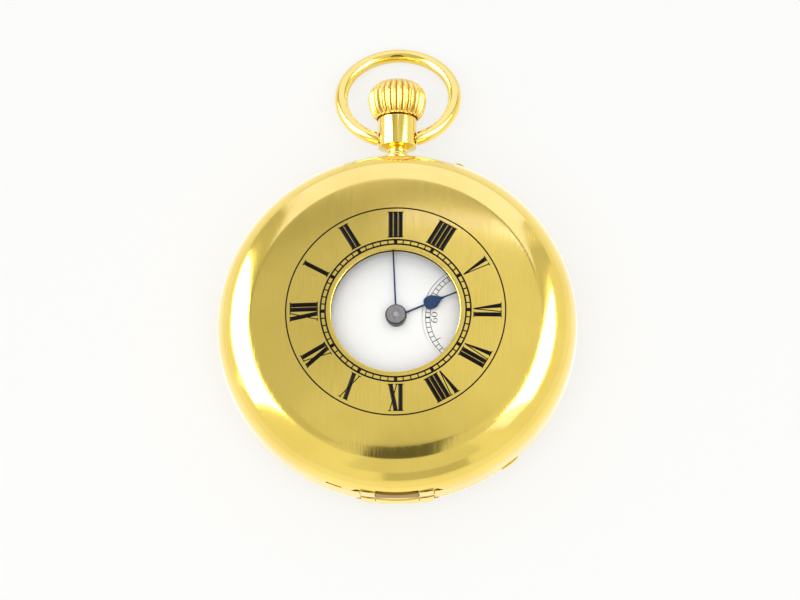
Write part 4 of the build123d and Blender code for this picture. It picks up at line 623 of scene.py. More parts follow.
def ink_finish(name, tone, rough=0.3):
    """Dull black print or enamel, a little paler in places."""
    finish = Finish(name, Roughness=rough, Specular_IOR_Level=0.05)
    pale = tuple(part * 1.3 + 0.002 for part in tone)
    patches = finish.span(finish.noise(9.0, 2.0), 0.45, 0.75)
    finish.feed("Base Color", finish.mix(patches, tone, pale))
    return finish.material


def glass_finish(name):
    """Clear glass: it mirrors a little face on and more towards its edges."""
    finish = Finish(name, Metallic=1.0, Roughness=0.02, Base_Color=(1.0, 1.0, 1.0))
    facing = finish.node("ShaderNodeLayerWeight", inputs={"Blend": 0.5}, output=1)
    finish.feed("Alpha", facing**4 * 0.4 + 0.007)
    return finish.material


def ruby_finish(name):
    """Polished ruby, darker and lighter in clouds."""
    finish = Finish(name, Roughness=0.05, IOR=1.76, Coat_Weight=1.0)
    cloud = finish.noise(2.0, 1.0)
    finish.feed("Base Color", finish.mix(cloud, (0.45, 0.01, 0.05), (0.7, 0.04, 0.12)))
    return finish.material


def dress(piece, material, body, slot, *nodes):
    """Give a piece its material and the body that it rides on, and hide the nodes that it stands
    for.
    """
    piece.data.materials.clear()
    piece.data.materials.append(material)
    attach(piece, body)
    if nodes:
        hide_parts(*nodes)


def repaint(name, material):
    """Give a CAD node a new material in every slot."""
    slots = frame["nodes"][name].data.materials
    if not len(slots):
        slots.append(material)
    for n in range(len(slots)):
        slots[n] = material


# The case's outline


class Cover:
    """One side of the case: a dome met by a rounded edge, side +1 front or -1 back."""

    def __init__(self, case, apex, dome, rounding, side):
        self.side, self.dome, self.rounding = side, dome, rounding
        self.dome_z = apex - side * dome
        self.edge_r = case.radius - rounding
        rise = sqrt((dome - rounding) ** 2 - self.edge_r**2)
        self.edge_z = self.dome_z + side * rise
        self.tilt = asin(self.edge_r / (dome - rounding))

    def height(self, radius, inset=0.0):
        return self.dome_z + self.side * np.sqrt((self.dome - inset) ** 2 - radius**2)

    def rim(self, height, inset=0.0):
        return self.edge_r + sqrt((self.rounding - inset) ** 2 - (height - self.edge_z) ** 2)

    def line(self, start, end, inset=0.0):
        """The outline from a radius on the dome to a height on the rounded edge."""
        meet = (self.dome - inset) * sin(self.tilt)
        radius = np.linspace(start, meet, STEPS)
        dome = np.stack([radius, self.height(radius, inset)], axis=-1)
        last = atan2(self.side * (end - self.edge_z), self.rim(end, inset) - self.edge_r)
        angle = np.linspace(pi / 2 - self.tilt, last, 2 * STEPS)
        bend = self.rounding - inset
        edge_r = self.edge_r + bend * np.cos(angle)
        edge_z = self.edge_z + self.side * bend * np.sin(angle)
        return np.concatenate([dome, np.stack([edge_r, edge_z], axis=-1)[1:]])


def front_cover(case):
    return Cover(case, case.lid_apex, case.lid_dome, case.lid_rounding, 1)


def back_outline(case):
    dome = case.lid_dome
    apex = sqrt(dome**2 - case.back_flat**2) - dome
    return Cover(case, apex, dome, case.back_rounding, -1)


def shoulder(case):
    """How far along from the middle the flat under the pendant lies."""
    return sqrt(case.radius**2 - case.shoulder**2)


def cut_hinge(piece, z, case):
    """Cut a cover flat under the pendant and give it its two hinge tubes."""
    combine(piece, box_tool((-PAST, shoulder(case), -PAST), (PAST, PAST, PAST)))
    chord = -sqrt(case.radius**2 - SLOT_REACH**2)
    slot = box_tool((-SLOT_REACH, -PAST, z - SLOT_RISE), (SLOT_REACH, chord, z + SLOT_RISE))
    combine(piece, slot)
    place, half = (HINGE_Y, z), TUBE_FROM - TUBE_GAP
    combine(piece, rod("cutter", SLOT_ROUND, -half, half, place))
    limit = case.radius + TUBE_PROUD
    for low, high in ((TUBE_FROM, TUBE_TO), (-TUBE_TO, -TUBE_FROM)):
        tube = rod("tube", TUBE_RADIUS, low, high, place)
        outline = [(PAST, 0), (PAST, TUBE_RIM_TOP), (limit, TUBE_RIM_TOP), (limit, 0)]
        combine(piece, combine(tube, lathe("rim", outline)), "UNION")
    combine(piece, rod("bore", TUBE_BORE, -BORE_HALF, BORE_HALF, place))


class WATCH_OT_front_cover(bpy.types.Operator):
    """Make the front cover with its rounded edge, aperture and catch tab"""

    bl_idname = "watch.front_cover"
    bl_label = "Front cover"

    def execute(self, context):
        case = context.scene.watch_case
        front = front_cover(case)
        edge, wall, hole = case.lid_joint, case.lid_wall, case.aperture
        rim = case.glass_seat + case.glass_rim
        seat_z = float(front.height(hole)) - case.aperture_lip
        rim_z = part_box("lid_glass_ring")[0].z / MM
        top = float(front.height(hole))
        lip = rounded((hole, top), (hole, seat_z), (hole + 1, top), 0.1)
        outline = joined(
            lip,
            front.line(hole + 0.3, edge)[1:],
            front.line(rim, edge, wall)[::-1],
            [(rim, rim_z), (case.glass_seat, rim_z), (case.glass_seat, seat_z), (hole, seat_z)],
        )
        lid = lathe("front_cover_shell", outline)
        cut_hinge(lid, HINGE_LID, case)
        half, low, face = case.tab_half, case.tab_low, shoulder(case) - case.tab_gap
        for inner, top in (
            (face - case.tab_wall, case.tab_top),
            (face - case.ledge_reach, low + case.ledge_tall),
        ):
            combine(lid, box_tool((-half, inner, low), (half, face, top)), "UNION")
        place = (-case.notch_reach, case.notch_height)
        notch = rod("cutter", case.notch_radius, -case.notch_half, case.notch_half, place)
        notch.data.transform(Matrix.Rotation(case.notch_turn, 4, "Z"))
        combine(lid, notch)
        smooth(lid)
        dress(lid, gold_finish("worn_gold", case, True), "lid", "gold", "front_lid")
        return {"FINISHED"}


# Numerals and tracks, drawn flat and laid on a dome or a dial


def sunk(place, depth):
    """The same places, lower by a depth."""
    return place - (0, 0, depth)


def strokes_mesh(name, strokes, lay, depth=0.06, steps=10):
    """Prisms from strokes (ax, ay, aw, bx, by, bw, sx, sy): p = a + (b - a) t, half a
    width either side along s, laid on the surface by lay(x, y) and sunk by depth."""
    s = np.asarray(strokes, float)
    t = np.linspace(0, 1, steps)
    a, b = s[:, None, 0:2], s[:, None, 3:5]
    middle = a + (b - a) * t[None, :, None]
    width = s[:, None, 2] + (s[:, None, 5] - s[:, None, 2]) * t[None, :]
    across = s[:, None, 6:8]
    left, right = (
        lay(*np.moveaxis(middle + side * across * width[..., None], -1, 0))
        for side in (-0.5, 0.5)
    )
    points = np.stack([sunk(left, depth), left, right, sunk(right, depth)], axis=2)
    body = grid_faces(steps, 4, False, True)
    caps = np.array([[0, 1, 2, 3], [4 * steps - 1, 4 * steps - 2, 4 * steps - 3, 4 * steps - 4]])
    faces = np.concatenate([body, caps])
    shift = np.arange(len(s))[:, None, None] * steps * 4
    return mesh_object(name, points, (faces[None] + shift).reshape(-1, 4), merge=1e-9)


def circle_mesh(name, radius, width, lay, centre=(0, 0), depth=0.06):
    """A ring of four-cornered section: radii r -+ w/2, laid on the surface."""
    turn = full_turn(SLICES)
    inner, outer = (
        lay(centre[0] + r * np.cos(turn), centre[1] + r * np.sin(turn))
        for r in (radius - width / 2, radius + width / 2)
    )
    rings = np.stack([sunk(inner, depth), inner, outer, sunk(outer, depth)])
    return mesh_object(name, rings, grid_faces(4, SLICES, True, True))


# Widths of the numerals' broad and thin limbs and serifs, and the gap between two letters.
# A letter is its advance, its limbs (ax, ay, aw, bx, by, bw) and its serifs (x, y, width),
# across in millimetres and up from the foot, 0, to the top, 1
STROKE, THIN, SERIF, GAP = 0.61, 0.145, 0.13, 0.07
LETTERS = {
    "I": (STROKE, [(0.305, 1, STROKE, 0.305, 0, STROKE)], [(0.305, 0, 0.86), (0.305, 1, 0.86)]),
    "V": (
        1.3,
        [(0.31, 1, 0.66, 0.84, 0, 0.15), (1.24, 1, THIN, 0.87, 0, THIN)],
        [(0.31, 1, 0.95), (1.24, 1, 0.5)],
    ),
    "X": (
        1.28,
        [(0.28, 1, STROKE, 1.02, 0, STROKE), (1.14, 1, THIN, 0.14, 0, THIN)],
        [(0.28, 1, 0.8), (1.14, 1, 0.45), (1.02, 0, 0.8), (0.14, 0, 0.45)],
    ),
}
HOURS = ("XII", "I", "II", "III", "IIII", "V", "VI", "VII", "VIII", "IX", "X", "XI")


def laid(strokes, side, out, start):
    """Strokes turned so that across the page is along side, and up it along out."""
    turned = strokes.copy()
    for n, origin in ((0, start), (3, start), (6, np.zeros(2))):
        turned[:, n : n + 2] = origin + strokes[:, [n]] * side + strokes[:, [n + 1]] * out
    return turned


def numeral_strokes(text, hour, base, top, scale=1.0):
    """A Roman numeral standing on a circle, its foot towards the middle."""
    tall = top - base
    pen, bars = 0.0, []
    for letter in text:
        advance, limbs, feet = LETTERS[letter]
        for ax, ay, aw, bx, by, bw in limbs:
            bars.append((pen + ax, ay * tall, aw, pen + bx, by * tall, bw, 1, 0))
        for x, y, w in feet:
            level = SERIF / 2 if y == 0 else tall - SERIF / 2
            bars.append((pen + x - w / 2, level, SERIF, pen + x + w / 2, level, SERIF, 0, 1))
        pen += advance + GAP
    bars = np.array(bars)
    bars[:, [0, 3]] -= (pen - GAP) / 2
    bars[:, [0, 2, 3, 5]] *= scale
    # XII lies at -X, and the hours run clockwise
    angle = pi - hour * TURN / 12
    out = np.array([cos(angle), sin(angle)])
    side = np.array([sin(angle), -cos(angle)])
    return laid(bars, side, out, base * out)


def curve_strokes(points, widths):
    """Short strokes from each point of a curve to the next."""
    points, widths = np.asarray(points, float), np.asarray(widths, float)
    a, b = points[:-1], points[1:]
    along = (b - a) / np.linalg.norm(b - a, axis=1)[:, None]
    side = np.stack([-along[:, 1], along[:, 0]], axis=-1)
    return np.column_stack([a, widths[:-1], b, widths[1:], side])


def sixty_strokes(place, tall):
    """The figures 6 and 0, their tops towards -X: ovals (c + a cos u, b sin u), broad at
    the sides, and for the 6 a tail that bends up from the oval's left."""
    u, bend = np.linspace(0, TURN, 25), np.linspace(pi, 0.36 * pi, 14)
    broad = 0.05 + 0.11 * np.cos(u) ** 2
    tapered = np.linspace(0.15, 0.07, len(bend))

    def oval(a, x, wide, y, high):
        return np.column_stack([x + wide * np.cos(a), y + high * np.sin(a)])

    lines = (
        (oval(u, 0.47, 0.33, 0.5, 0.46), broad),
        (oval(u, -0.46, 0.33, 0.31, 0.28), broad),
        (oval(bend, -0.36, 0.43, 0.4, 0.55), tapered),
    )
    bars = np.concatenate([curve_strokes(line * tall, width * tall) for line, width in lines])
    return laid(bars, np.array([0, 1]), np.array([-1, 0]), np.array([place, 0]))


def track_strokes(inner, outer, mark, block, count=60, centre=(0, 0), every=5):
    """Radial marks, a broad one at each fifth."""
    angle = pi - full_turn(count)
    width = np.where(np.arange(count) % every == 0, block, mark)
    out = np.stack([np.cos(angle), np.sin(angle)], axis=-1)
    side = np.stack([-np.sin(angle), np.cos(angle)], axis=-1)
    a, b = np.asarray(centre) + inner * out, np.asarray(centre) + outer * out
    return np.column_stack([a, width, b, width, side])


class WATCH_OT_cover_numerals(bpy.types.Operator):
    """Lay the black enamel numerals and the minute track in the front cover"""

    bl_idname = "watch.cover_numerals"
    bl_label = "Cover numerals"

    def execute(self, context):
        marks = context.scene.watch_numerals
        front = front_cover(context.scene.watch_case)

        def lay(x, y):
            return np.stack([x, y, front.height(np.hypot(x, y)) + marks.proud], axis=-1)

        bars = [
            numeral_strokes(text, hour, marks.base, marks.top)
            for hour, text in enumerate(HOURS)
        ]
        track = marks.track_inner, marks.track_outer, marks.mark_width, marks.block_width
        bars.append(track_strokes(*track))
        pieces = [strokes_mesh("strokes", np.concatenate(bars), lay)]
        for radius, width in (
            (marks.outer_line, marks.line_width),
            (marks.track_outer, marks.track_width),
            (marks.track_inner, marks.track_width),
        ):
            pieces.append(circle_mesh("circle", radius, width, lay))
        numerals = merged("cover_numerals", *pieces)
        enamel = ink_finish("black_enamel", tuple(marks.enamel), 0.12)
        dress(numerals, enamel, "lid", "enamel")
        return {"FINISHED"}


class WATCH_OT_back_cover(bpy.types.Operator):
    """Make the domed back cover with its thumb lip"""

    bl_idname = "watch.back_cover"
    bl_label = "Back cover"

    def execute(self, context):
        case = context.scene.watch_case
        back = back_outline(case)
        edge, wall, flat = case.back_joint, case.back_wall, case.back_flat
        inner_z = float(back.height(flat, wall))
        outline = joined(
            [(ON_AXIS, 0)],
            back.line(flat, edge),
            back.line(flat, edge, wall)[::-1],
            [(ON_AXIS, inner_z)],
        )
        cover = lathe("back_cover_shell", outline)
        cut_hinge(cover, HINGE_BACK, case)
        combine(cover, self.thumb_lip(case, back.rim(edge, wall / 2)), "UNION")
        smooth(cover)
        dress(cover, gold_finish("back_gold", case), "back", "gold", "back_cover")
        return {"FINISHED"}

    def thumb_lip(self, case, inner):
        """A thin bar bent along the rim, at radius R + out sqrt(sin(pi t)), t along it."""
        t = np.linspace(0, 1, 17)
        turn = case.lip_bearing + case.lip_half * (2 * t - 1) / case.radius
        reach = case.radius + case.lip_reach * np.sin(t * pi) ** 0.5
        edge, tall, bevel = case.back_joint, case.lip_tall, case.lip_bevel
        corners = (
            (reach - bevel, edge - tall),
            (reach, edge - tall + bevel),
            (reach, edge - bevel),
            (reach - bevel, edge),
            (inner, edge),
            (inner, edge - tall),
        )
        rows = [around(r, turn, z) for r, z in corners]
        end = np.array([[0, 1, 2, 3], [0, 3, 4, 5]])
        shift = len(corners) * (len(t) - 1)
        sides = grid_faces(len(t), len(corners), False, True)
        return mesh_object("lip", np.stack(rows, axis=1), np.concatenate([sides, end, end + shift]))


class WATCH_OT_case_band(bpy.types.Operator):
    """Give the case middle, bezel and cuvette polished gold"""

    bl_idname = "watch.case_band"
    bl_label = "Case middle"

    def execute(self, context):
        case = context.scene.watch_case
        gold = gold_finish("case_gold", case)
        for name in ("case_middle", "bezel", "cuvette", "pin_guard", "lid_glass_ring", "set_pin"):
            repaint(name, gold)
        repaint("hinge_pins", pin_finish("red_gold"))
        return {"FINISHED"}


class WATCH_OT_pendant(bpy.types.Operator):
    """Turn the pendant's foot, neck and collar, and shape the bow"""

    bl_idname = "watch.pendant"
    bl_label = "Pendant and bow"

    def execute(self, context):
        case, sizes = context.scene.watch_case, context.scene.watch_pendant
        foot, neck, collar = sizes.foot, sizes.neck_radius, sizes.collar
        flange, wide, top = sizes.foot_radius, sizes.collar_radius, sizes.top
        under, thick = foot - sizes.foot_sunk, foot + sizes.foot_tall
        bead = foot + sizes.bead
        bend = np.linspace(0, pi, 12)
        swell = neck + 0.2 + sizes.bead_reach * np.sin(bend)
        outline = joined(
            [(sizes.bore, under), (flange - 0.1, under)],
            rounded((flange, foot), (0, foot), (flange, top), 0.08),
            rounded((flange, thick), (flange, 0), (0, thick + 0.28), 0.12),
            [(neck + 0.55, thick + 0.24)],
            np.stack([swell, bead - sizes.bead_half * np.cos(bend)], axis=-1),
            [(neck + 0.04, bead + 0.45), (neck, bead + 0.7)],
            rounded((neck, collar - 0.55), (neck, foot), (wide, collar - 0.02), 0.25),
            rounded((wide - 0.12, collar - 0.08), (neck, collar - 0.5), (wide, collar), 0.05),
            rounded((wide, top), (wide, collar), (0, top), 0.18),
            [(sizes.bore, top)],
        )
        pendant = along_pendant(lathe("pendant_turned", outline, 160), sizes.height)
        place, hole = (sizes.pivot, sizes.height), sizes.pivot_radius + sizes.pivot_play
        for end in (1, -1):
            span = sorted((end * sizes.pivot_from, end * PAST))
            combine(pendant, rod("cutter", hole, *span, place))
        smooth(pendant)
        gold = gold_finish("pendant_gold", case)
        dress(pendant, gold, "case", "gold", "pendant")
        dress(self.bow(sizes), gold, "bow", "gold", "bow")
        return {"FINISHED"}

    def bow(self, sizes):
        """A bent wire: with p = R + w cos v, (p sin a, c - p cos a, w sin v), where a runs
        from one flat end, at which p sin a is the end's distance, round to the other."""
        loop, wire, end = sizes.loop, sizes.wire, sizes.bow_end
        slices = 48
        v = full_turn(slices)
        run = np.linspace(0, 1, 200)[:, None]
        away = loop + wire * np.cos(v)
        first = np.arcsin(end / away)
        a = first + run * (TURN - 2 * first)
        centre = sqrt(loop**2 - end**2)
        rows = around(away, a - pi / 2, wire * np.sin(v)) + (0, centre, 0)
        cap = np.zeros((1, slices, 3))
        cap[..., 0] = end
        rows = np.concatenate([cap, rows, cap * (-1, 1, 1)])
        wire_piece = mesh_object("bow_wire", rows, grid_faces(len(rows), slices, False, True))
        # A pivot ends inside the wire
        near, far = sizes.pivot_from + sizes.pivot_gap, end + 0.3
        pins = [
            rod("pin", sizes.pivot_radius, *sorted((side * near, side * far)), (0, 0))
            for side in (1, -1)
        ]
        bow = merged("bow_ring", wire_piece, *pins)
        tilt = asin((sizes.height - wire) / (centre + loop))
        place = Matrix.Translation(Vector((0, sizes.pivot, sizes.height)) * MM)
        bow.data.transform(place @ Matrix.Rotation(-tilt, 4, "X"))
        return smooth(bow, 40)


class WATCH_OT_crown(bpy.types.Operator):
    """Shape the fluted crown"""

    bl_idname = "watch.crown"
    bl_label = "Crown"

    def execute(self, context):
        """Radius R - d (1 - |cos(n u / 2)|) round the turn u. R is f + (w - f)
        sqrt(1 - s^1.8) at a share s of the way down from the waist, and w cos(t)^0.82 where
        the height above it goes with sin(t)^0.95. The depth d fades towards the axis."""
        sizes = context.scene.watch_pendant
        wide, waist = sizes.crown_radius, sizes.crown_waist
        base, top = sizes.crown_base, sizes.crown_top
        narrow, skirt, inner = sizes.crown_foot, sizes.crown_skirt, base + sizes.crown_hollow
        lower = np.linspace(base + 0.12, waist, 26)
        drop = (waist - lower) / (waist - base + 0.1)
        low_r = narrow + (wide - narrow) * np.sqrt(1 - drop**1.8)
        turn = np.linspace(0, pi / 2, 34)[1:]
        upper = waist + (top - waist) * np.sin(turn) ** 0.95
        up_r = wide * np.cos(turn) ** 0.82
        hollow = [ON_AXIS, skirt, skirt]
        radius = np.concatenate([hollow, [low_r[0] - 0.1], low_r, up_r[:-1], [ON_AXIS]])
        height = np.concatenate([[inner, inner, base, base], lower, upper[:-1], [top]])
        depth = sizes.flute * np.clip((radius - 0.6) / 1.3, 0, 1)
        depth[: len(hollow)] = 0.0
        slices = sizes.ridges * 18
        u = full_turn(slices)
        ridge = 1 - np.abs(np.cos(u * sizes.ridges / 2))
        out = radius[:, None] - depth[:, None] * ridge
        # The grooves stay clear of the skirt's hollow, in which the collar moves
        wall = (height < inner) & (radius > skirt)
        out = np.where(wall[:, None], np.maximum(out, skirt + sizes.groove_clear), out)
        points = around(out, u, height[:, None])
        crown = mesh_object("crown_fluted", points, grid_faces(len(out), slices, False, True))
        self.mark_groove_shade(crown.data, sizes)
        smooth(along_pendant(crown, sizes.height), 60)
        gold = fluted_finish("fluted_gold", context.scene.watch_case)
        dress(crown, gold, "crown", "gold", "crown")
        return {"FINISHED"}

    def mark_groove_shade(self, mesh, sizes):
        """The attribute 'groove', the share of painted shade: (1 - |cos(n u / 2)|)^1.6, which fades
        towards the middle and the top, and a little more near the foot."""
        place = np.empty(len(mesh.vertices) * 3)
        mesh.vertices.foreach_get("co", place)
        x, y, z = place.reshape(-1, 3).T / MM
        groove = 1 - np.abs(np.cos(np.arctan2(y, x) * sizes.ridges / 2))
        fade = np.clip((np.hypot(x, y) - 1.2) / 1.5, 0, 1) * np.clip(sizes.crown_top - z, 0, 1)
        # A little more painted shade near the crown's foot
        low = 0.35 * np.clip((sizes.crown_base + 1.2 - z) / 1.2, 0, 1)
        mask = mesh.attributes.new("groove", "FLOAT", "POINT")
        mask.data.foreach_set("value", np.clip(groove**1.6 * fade + low, 0, 1).astype(np.float32))


class WATCH_OT_dial(bpy.types.Operator):
    """Give the dial its white enamel and fired black print"""

    bl_idname = "watch.dial"
    bl_label = "Dial"

    def execute(self, context):
        dial = context.scene.watch_dial
        white = enamel_finish("white_enamel", tuple(dial.white))
        for name in ("dial", "seconds_dial"):
            repaint(name, white)
        pieces = self.hours(dial) + self.seconds(dial)
        ink = ink_finish("fired_ink", tuple(dial.ink))
        dress(merged("dial_print", *pieces), ink, "case", "enamel")
        return {"FINISHED"}

    def print_on(self, level, dial):
        """Lay print flat on the enamel at this height."""
        return lambda x, y: np.stack([x, y, 0 * x + level + dial.print_proud], axis=-1)

    def hours(self, dial):
        """The hours and the minute track, but for what the seconds dial takes away."""
        lay, depth = self.print_on(dial.top, dial), dial.print_depth
        bars = [
            numeral_strokes(text, hour, dial.base, dial.numeral_top, 1.15)
            for hour, text in enumerate(HOURS)
            if text != "VI"
        ]
        track = dial.track_inner, dial.track_outer, dial.mark_width, dial.block_width
        bars.append(track_strokes(*track))
        bars = np.concatenate(bars)
        starts, ends = (np.hypot(bars[:, n] - dial.seconds_x, bars[:, n + 1]) for n in (0, 3))
        bars = bars[np.minimum(starts, ends) > dial.seconds_clear]
        return [strokes_mesh("strokes", bars, lay, depth, 2)] + [
            circle_mesh("circle", radius, dial.print_width, lay, depth=depth)
            for radius in (dial.track_inner, dial.track_outer)
        ]

    def seconds(self, dial):
        """The seconds track, its longer marks at the fives, and the figures 60."""
        lay, depth = self.print_on(dial.seconds_top, dial), dial.print_depth
        centre, inner, outer = (dial.seconds_x, 0), dial.seconds_inner, dial.seconds_outer
        mark, broad = dial.seconds_mark, dial.sixty_mark
        track = track_strokes(inner, outer, mark, broad, 60, centre, 60)
        wide, start = dial.fives_mark, inner - dial.fives_reach
        fives = track_strokes(start, inner, wide, wide, 12, centre)[1:]
        sixty = sixty_strokes(dial.seconds_x - dial.sixty_foot, dial.sixty_tall)
        bars = np.concatenate([track, fives, sixty])
        return [strokes_mesh("strokes", bars, lay, depth, 2)] + [
            circle_mesh("circle", radius, dial.print_width, lay, centre, depth)
            for radius in (inner, outer)
        ]


class WATCH_OT_hands(bpy.types.Operator):
    """Blue the hands"""

    bl_idname = "watch.hands"
    bl_label = "Hands"

    def execute(self, context):
        blue = blued_finish("blued_steel")
        for name in ("hour_hand", "seconds_hand", "hairspring"):
            repaint(name, blue)
        hub = context.scene.watch_dial.hub_radius
        repaint("minute_hand", blued_finish("blued_steel_with_hub", hub))
        return {"FINISHED"}


class WATCH_OT_glasses(bpy.types.Operator):
    """Clear the two glasses"""

    bl_idname = "watch.glasses"
    bl_label = "Glasses"

    def execute(self, context):
        clear = glass_finish("clear_glass")
        for name in ("lid_glass", "dial_glass"):
            repaint(name, clear)
        return {"FINISHED"}


class WATCH_OT_works(bpy.types.Operator):
    """Finish the plates, wheels, steelwork and jewels of the movement"""

    bl_idname = "watch.works"
    bl_label = "Works"

    def execute(self, context):
        finishes = {
            "steel": steel_finish("ground_steel"),
            "gilt_brass": gilt_finish("frosted_gilt"),
            "ruby": ruby_finish("ruby"),
        }
        for part in frame["record"]["subparts"]:
            if part["material_slot"] in finishes:
                repaint(part["node"], finishes[part["material_slot"]])
        arbor = context.scene.watch_dial.arbor_from
        repaint("centre_wheel", gilt_finish("gilt_with_steel_arbor", arbor))
        return {"FINISHED"}


# Studio cards: name, reach round from the pendant and up from the ground in degrees,
# strength, distance and, where it isn't 1, how blue they are
CARDS = (
    ("left_box", (-106, -49), (8, 56), 8.0, 900),
    ("right_box", (58, 108), (28, 63), 8.0, 900),
    ("far_sheet", (-31, 36), (2, 56.5), 1.22, 900, 1.7),
    ("left_gap", (-47, -31), (2, 58), 0.6, 900),
    ("right_gap", (36, 52), (6, 60), 0.66, 900),
    ("over_gap", (-60, 34), (56.5, 61.0), 0.45, 880),
    ("bright_edge", (-4, 24), (60.3, 61.7), 1.8, 860, 1.8),
    ("right_low", (108, 124), (32, 60), 1.4, 900, 1.7),
    ("ceiling", (-180, 180), (60, 90), 0.78, 950),
    ("ceiling_left", (-125, -4), (60, 75), 0.64, 930),
    ("ceiling_right", (0, 112), (62, 78), 0.85, 930),
    ("stand", (140, 205), (24, 60), 0.8, 900),
    ("stand_foot", (148, 188), (0, 24), 0.62, 900),
)
# The paper close round the case as its rims show it: name, radii, strength and blue
NEAR_GROUND = (
    ("nearest_ground", 21.0, 42.0, 1.14, 1.02),
    ("near_ground", 42.0, 90.0, 1.04, 1.1),
)
# The camera's dark front as metal shows it: angles off the zenith across and along of its
# four corners, and its height
HOOD_ACROSS, HOOD_ALONG, HOOD_HEIGHT = (-13.0, 13.0, 3.9, -3.9), (-27.0, -27.0, 5.8, 5.8), 840.0
# The ground: half its width, its height, its glow and the glow's share of what is seen
PAPER_REACH, PAPER_HEIGHT, PAPER_GLOW, GLOW_SHARE = 6000.0, -0.01, 0.89, 0.8
# A lamp stands on each side: its place in millimetres, its sizes in metres and its watts
LAMP_PLACE, LAMP_SIZE, LAMP_POWER = (160, -200, 520), (0.26, 0.42), 0.85


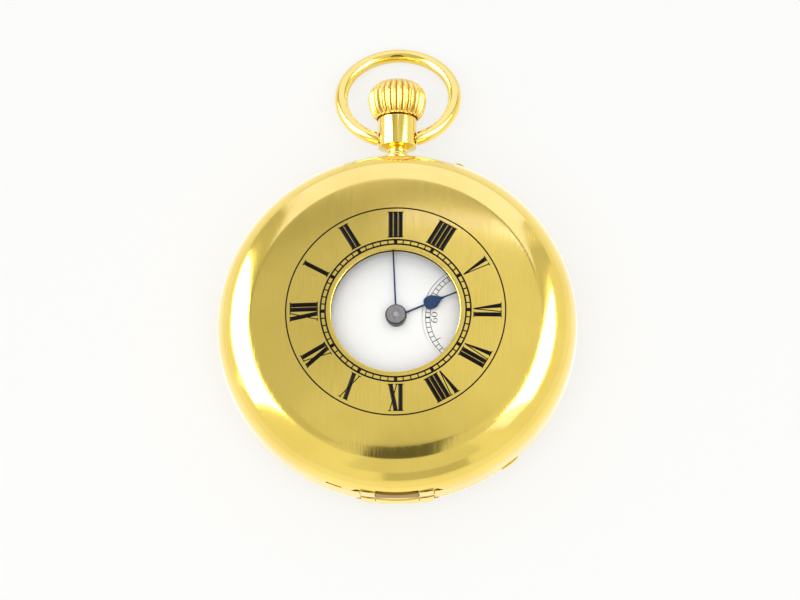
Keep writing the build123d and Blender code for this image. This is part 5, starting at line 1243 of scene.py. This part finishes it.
class WATCH_OT_stage(bpy.types.Operator):
    """Lay the pale ground, and set the lamps and the camera"""

    bl_idname = "watch.stage"
    bl_label = "Stage"

    def execute(self, context):
        stage = context.scene.watch_stage
        self.ground(stage)
        for card in CARDS:
            self.card(*card)
        for ring in NEAR_GROUND:
            self.near_ground(*ring)
        self.hood()
        self.world(context)
        x, y, z = LAMP_PLACE
        for name, side in (("left", -1), ("right", 1)):
            self.lamp(context, name, Vector((side * x, y, z)) * MM)
        self.camera(context, stage)
        context.scene.view_settings.view_transform = "Standard"
        return {"FINISHED"}

    def ground(self, stage):
        """Matt paper, which glows where it is seen and not where it lights the watch."""
        sides = (-1, -1), (1, -1), (1, 1), (-1, 1)
        corners = [(x * PAPER_REACH, y * PAPER_REACH, PAPER_HEIGHT) for x, y in sides]
        floor = mesh_object("ground", corners, np.array([[0, 1, 2, 3]]))
        paper = Finish("pale_paper", Roughness=0.9, Base_Color=tuple(stage.ground))
        glow = paper.glow((1.0, 1.0, 0.99), PAPER_GLOW)
        seen = 0.0
        for ray in ("Camera", "Glossy", "Transmission"):
            seen = paper.node("ShaderNodeLightPath", output=f"Is {ray} Ray") + seen
        share = paper.maths("MINIMUM", seen, 1.0) * GLOW_SHARE
        matt = Field(paper, paper.shader.outputs[0])
        paper.end_with(paper.node("ShaderNodeMixShader", inputs={0: share, 1: matt, 2: glow}))
        floor.data.materials.append(paper.material)

    def card(self, name, azimuth, elevation, strength, distance, cool=1.0):
        """A patch of a sphere, d (cos e sin a, cos e cos a, sin e), with azimuth a from the
        pendant and elevation e."""
        steps = 24
        a = np.radians(np.linspace(*azimuth, steps))[:, None]
        e = np.radians(np.linspace(*elevation, steps))[None, :]
        points = distance * around(np.cos(e), pi / 2 - a, np.sin(e))
        self.sheet(name, points, grid_faces(steps, steps), strength, cool)

    def near_ground(self, name, inner, outer, strength, cool):
        """A flat ring, open below the pendant, (r sin a, r cos a, h)."""
        a = np.radians(np.linspace(16, 344, 120))[:, None]
        points = around(np.array([inner, outer]), pi / 2 - a, 0.2)
        self.sheet(name, points, grid_faces(len(a), 2), strength, cool)

    def hood(self):
        """A flat sheet whose corners lie at h (tan a, tan b, 1)."""
        across, along = np.tan(np.radians(HOOD_ACROSS)), np.tan(np.radians(HOOD_ALONG))
        points = HOOD_HEIGHT * np.stack([across, along, np.ones(4)], axis=-1)
        self.sheet("lens_hood", points, np.array([[0, 1, 2, 3]]), 0.13)

    def sheet(self, name, points, faces, strength, cool=1.0):
        """A glowing sheet that only reflections show."""
        sheet = mesh_object(name, points, faces)
        light = Finish(name)
        light.end_with(light.glow((1 / cool, 1 / cool, 1.0), strength * cool))
        sheet.data.materials.append(light.material)
        sheet.visible_camera = sheet.visible_diffuse = sheet.visible_shadow = False
        sheet.visible_transmission = False

    def world(self, context):
        world = bpy.data.worlds.new("room")
        context.scene.world = world
        world.use_nodes = True
        background = world.node_tree.nodes["Background"]
        background.inputs["Color"].default_value = (0.97, 0.97, 0.96, 1.0)
        background.inputs["Strength"].default_value = 1.0

    def lamp(self, context, name, place):
        """A soft lamp aimed at the watch, which reflections don't show."""
        lamp = bpy.data.lights.new(name, "AREA")
        lamp.shape, lamp.energy = "RECTANGLE", LAMP_POWER
        lamp.size, lamp.size_y = LAMP_SIZE
        carrier = bpy.data.objects.new(name, lamp)
        carrier.visible_glossy = False
        carrier.location = place
        carrier.rotation_mode = "QUATERNION"
        carrier.rotation_quaternion = (-place).to_track_quat("-Z", "Y")
        context.scene.collection.objects.link(carrier)

    def camera(self, context, stage):
        lens = bpy.data.cameras.new("view")
        lens.sensor_width = 36.0
        # lens / sensor width = distance in pixels / picture width
        lens.lens = stage.pixels_per_mm * stage.distance * lens.sensor_width / PICTURE_WIDTH
        lens.clip_start, lens.clip_end = 0.01, 10.0
        camera = bpy.data.objects.new("view", lens)
        aim = Vector((stage.aim_x, stage.aim_y, stage.aim_z)) * MM
        back = Vector((sin(stage.lean), -cos(stage.elevation), sin(stage.elevation))).normalized()
        camera.location = aim + back * stage.distance * MM
        right = Vector((0, 1, 0)).cross(back).normalized()
        turn = Matrix((right, back.cross(right), back)).transposed()
        camera.rotation_mode = "QUATERNION"
        camera.rotation_quaternion = turn.to_quaternion()
        context.scene.collection.objects.link(camera)
        context.scene.camera = camera


PIECES = (
    WATCH_OT_front_cover,
    WATCH_OT_cover_numerals,
    WATCH_OT_back_cover,
    WATCH_OT_case_band,
    WATCH_OT_pendant,
    WATCH_OT_crown,
    WATCH_OT_dial,
    WATCH_OT_hands,
    WATCH_OT_glasses,
    WATCH_OT_works,
    WATCH_OT_stage,
)


class WATCH_PT_pieces(bpy.types.Panel):
    bl_idname = "WATCH_PT_pieces"
    bl_label = "Pocket watch"
    bl_space_type = "VIEW_3D"
    bl_region_type = "UI"
    bl_category = "Watch"

    def draw(self, context):
        for piece in PIECES:
            self.layout.operator(piece.bl_idname)


SETTINGS = {
    "watch_case": CaseSettings,
    "watch_numerals": NumeralSettings,
    "watch_dial": DialSettings,
    "watch_pendant": PendantSettings,
    "watch_stage": StageSettings,
}


def register():
    for group in (*SETTINGS.values(), *PIECES, WATCH_PT_pieces):
        bpy.utils.register_class(group)
    for name, group in SETTINGS.items():
        setattr(bpy.types.Scene, name, bpy.props.PointerProperty(type=group))


def unregister():
    for name in SETTINGS:
        delattr(bpy.types.Scene, name)
    for group in reversed((*SETTINGS.values(), *PIECES, WATCH_PT_pieces)):
        bpy.utils.unregister_class(group)


def main():
    register()
    for piece in PIECES:
        family, name = piece.bl_idname.split(".")
        getattr(getattr(bpy.ops, family), name)()


if __name__ == "__main__":
    main()
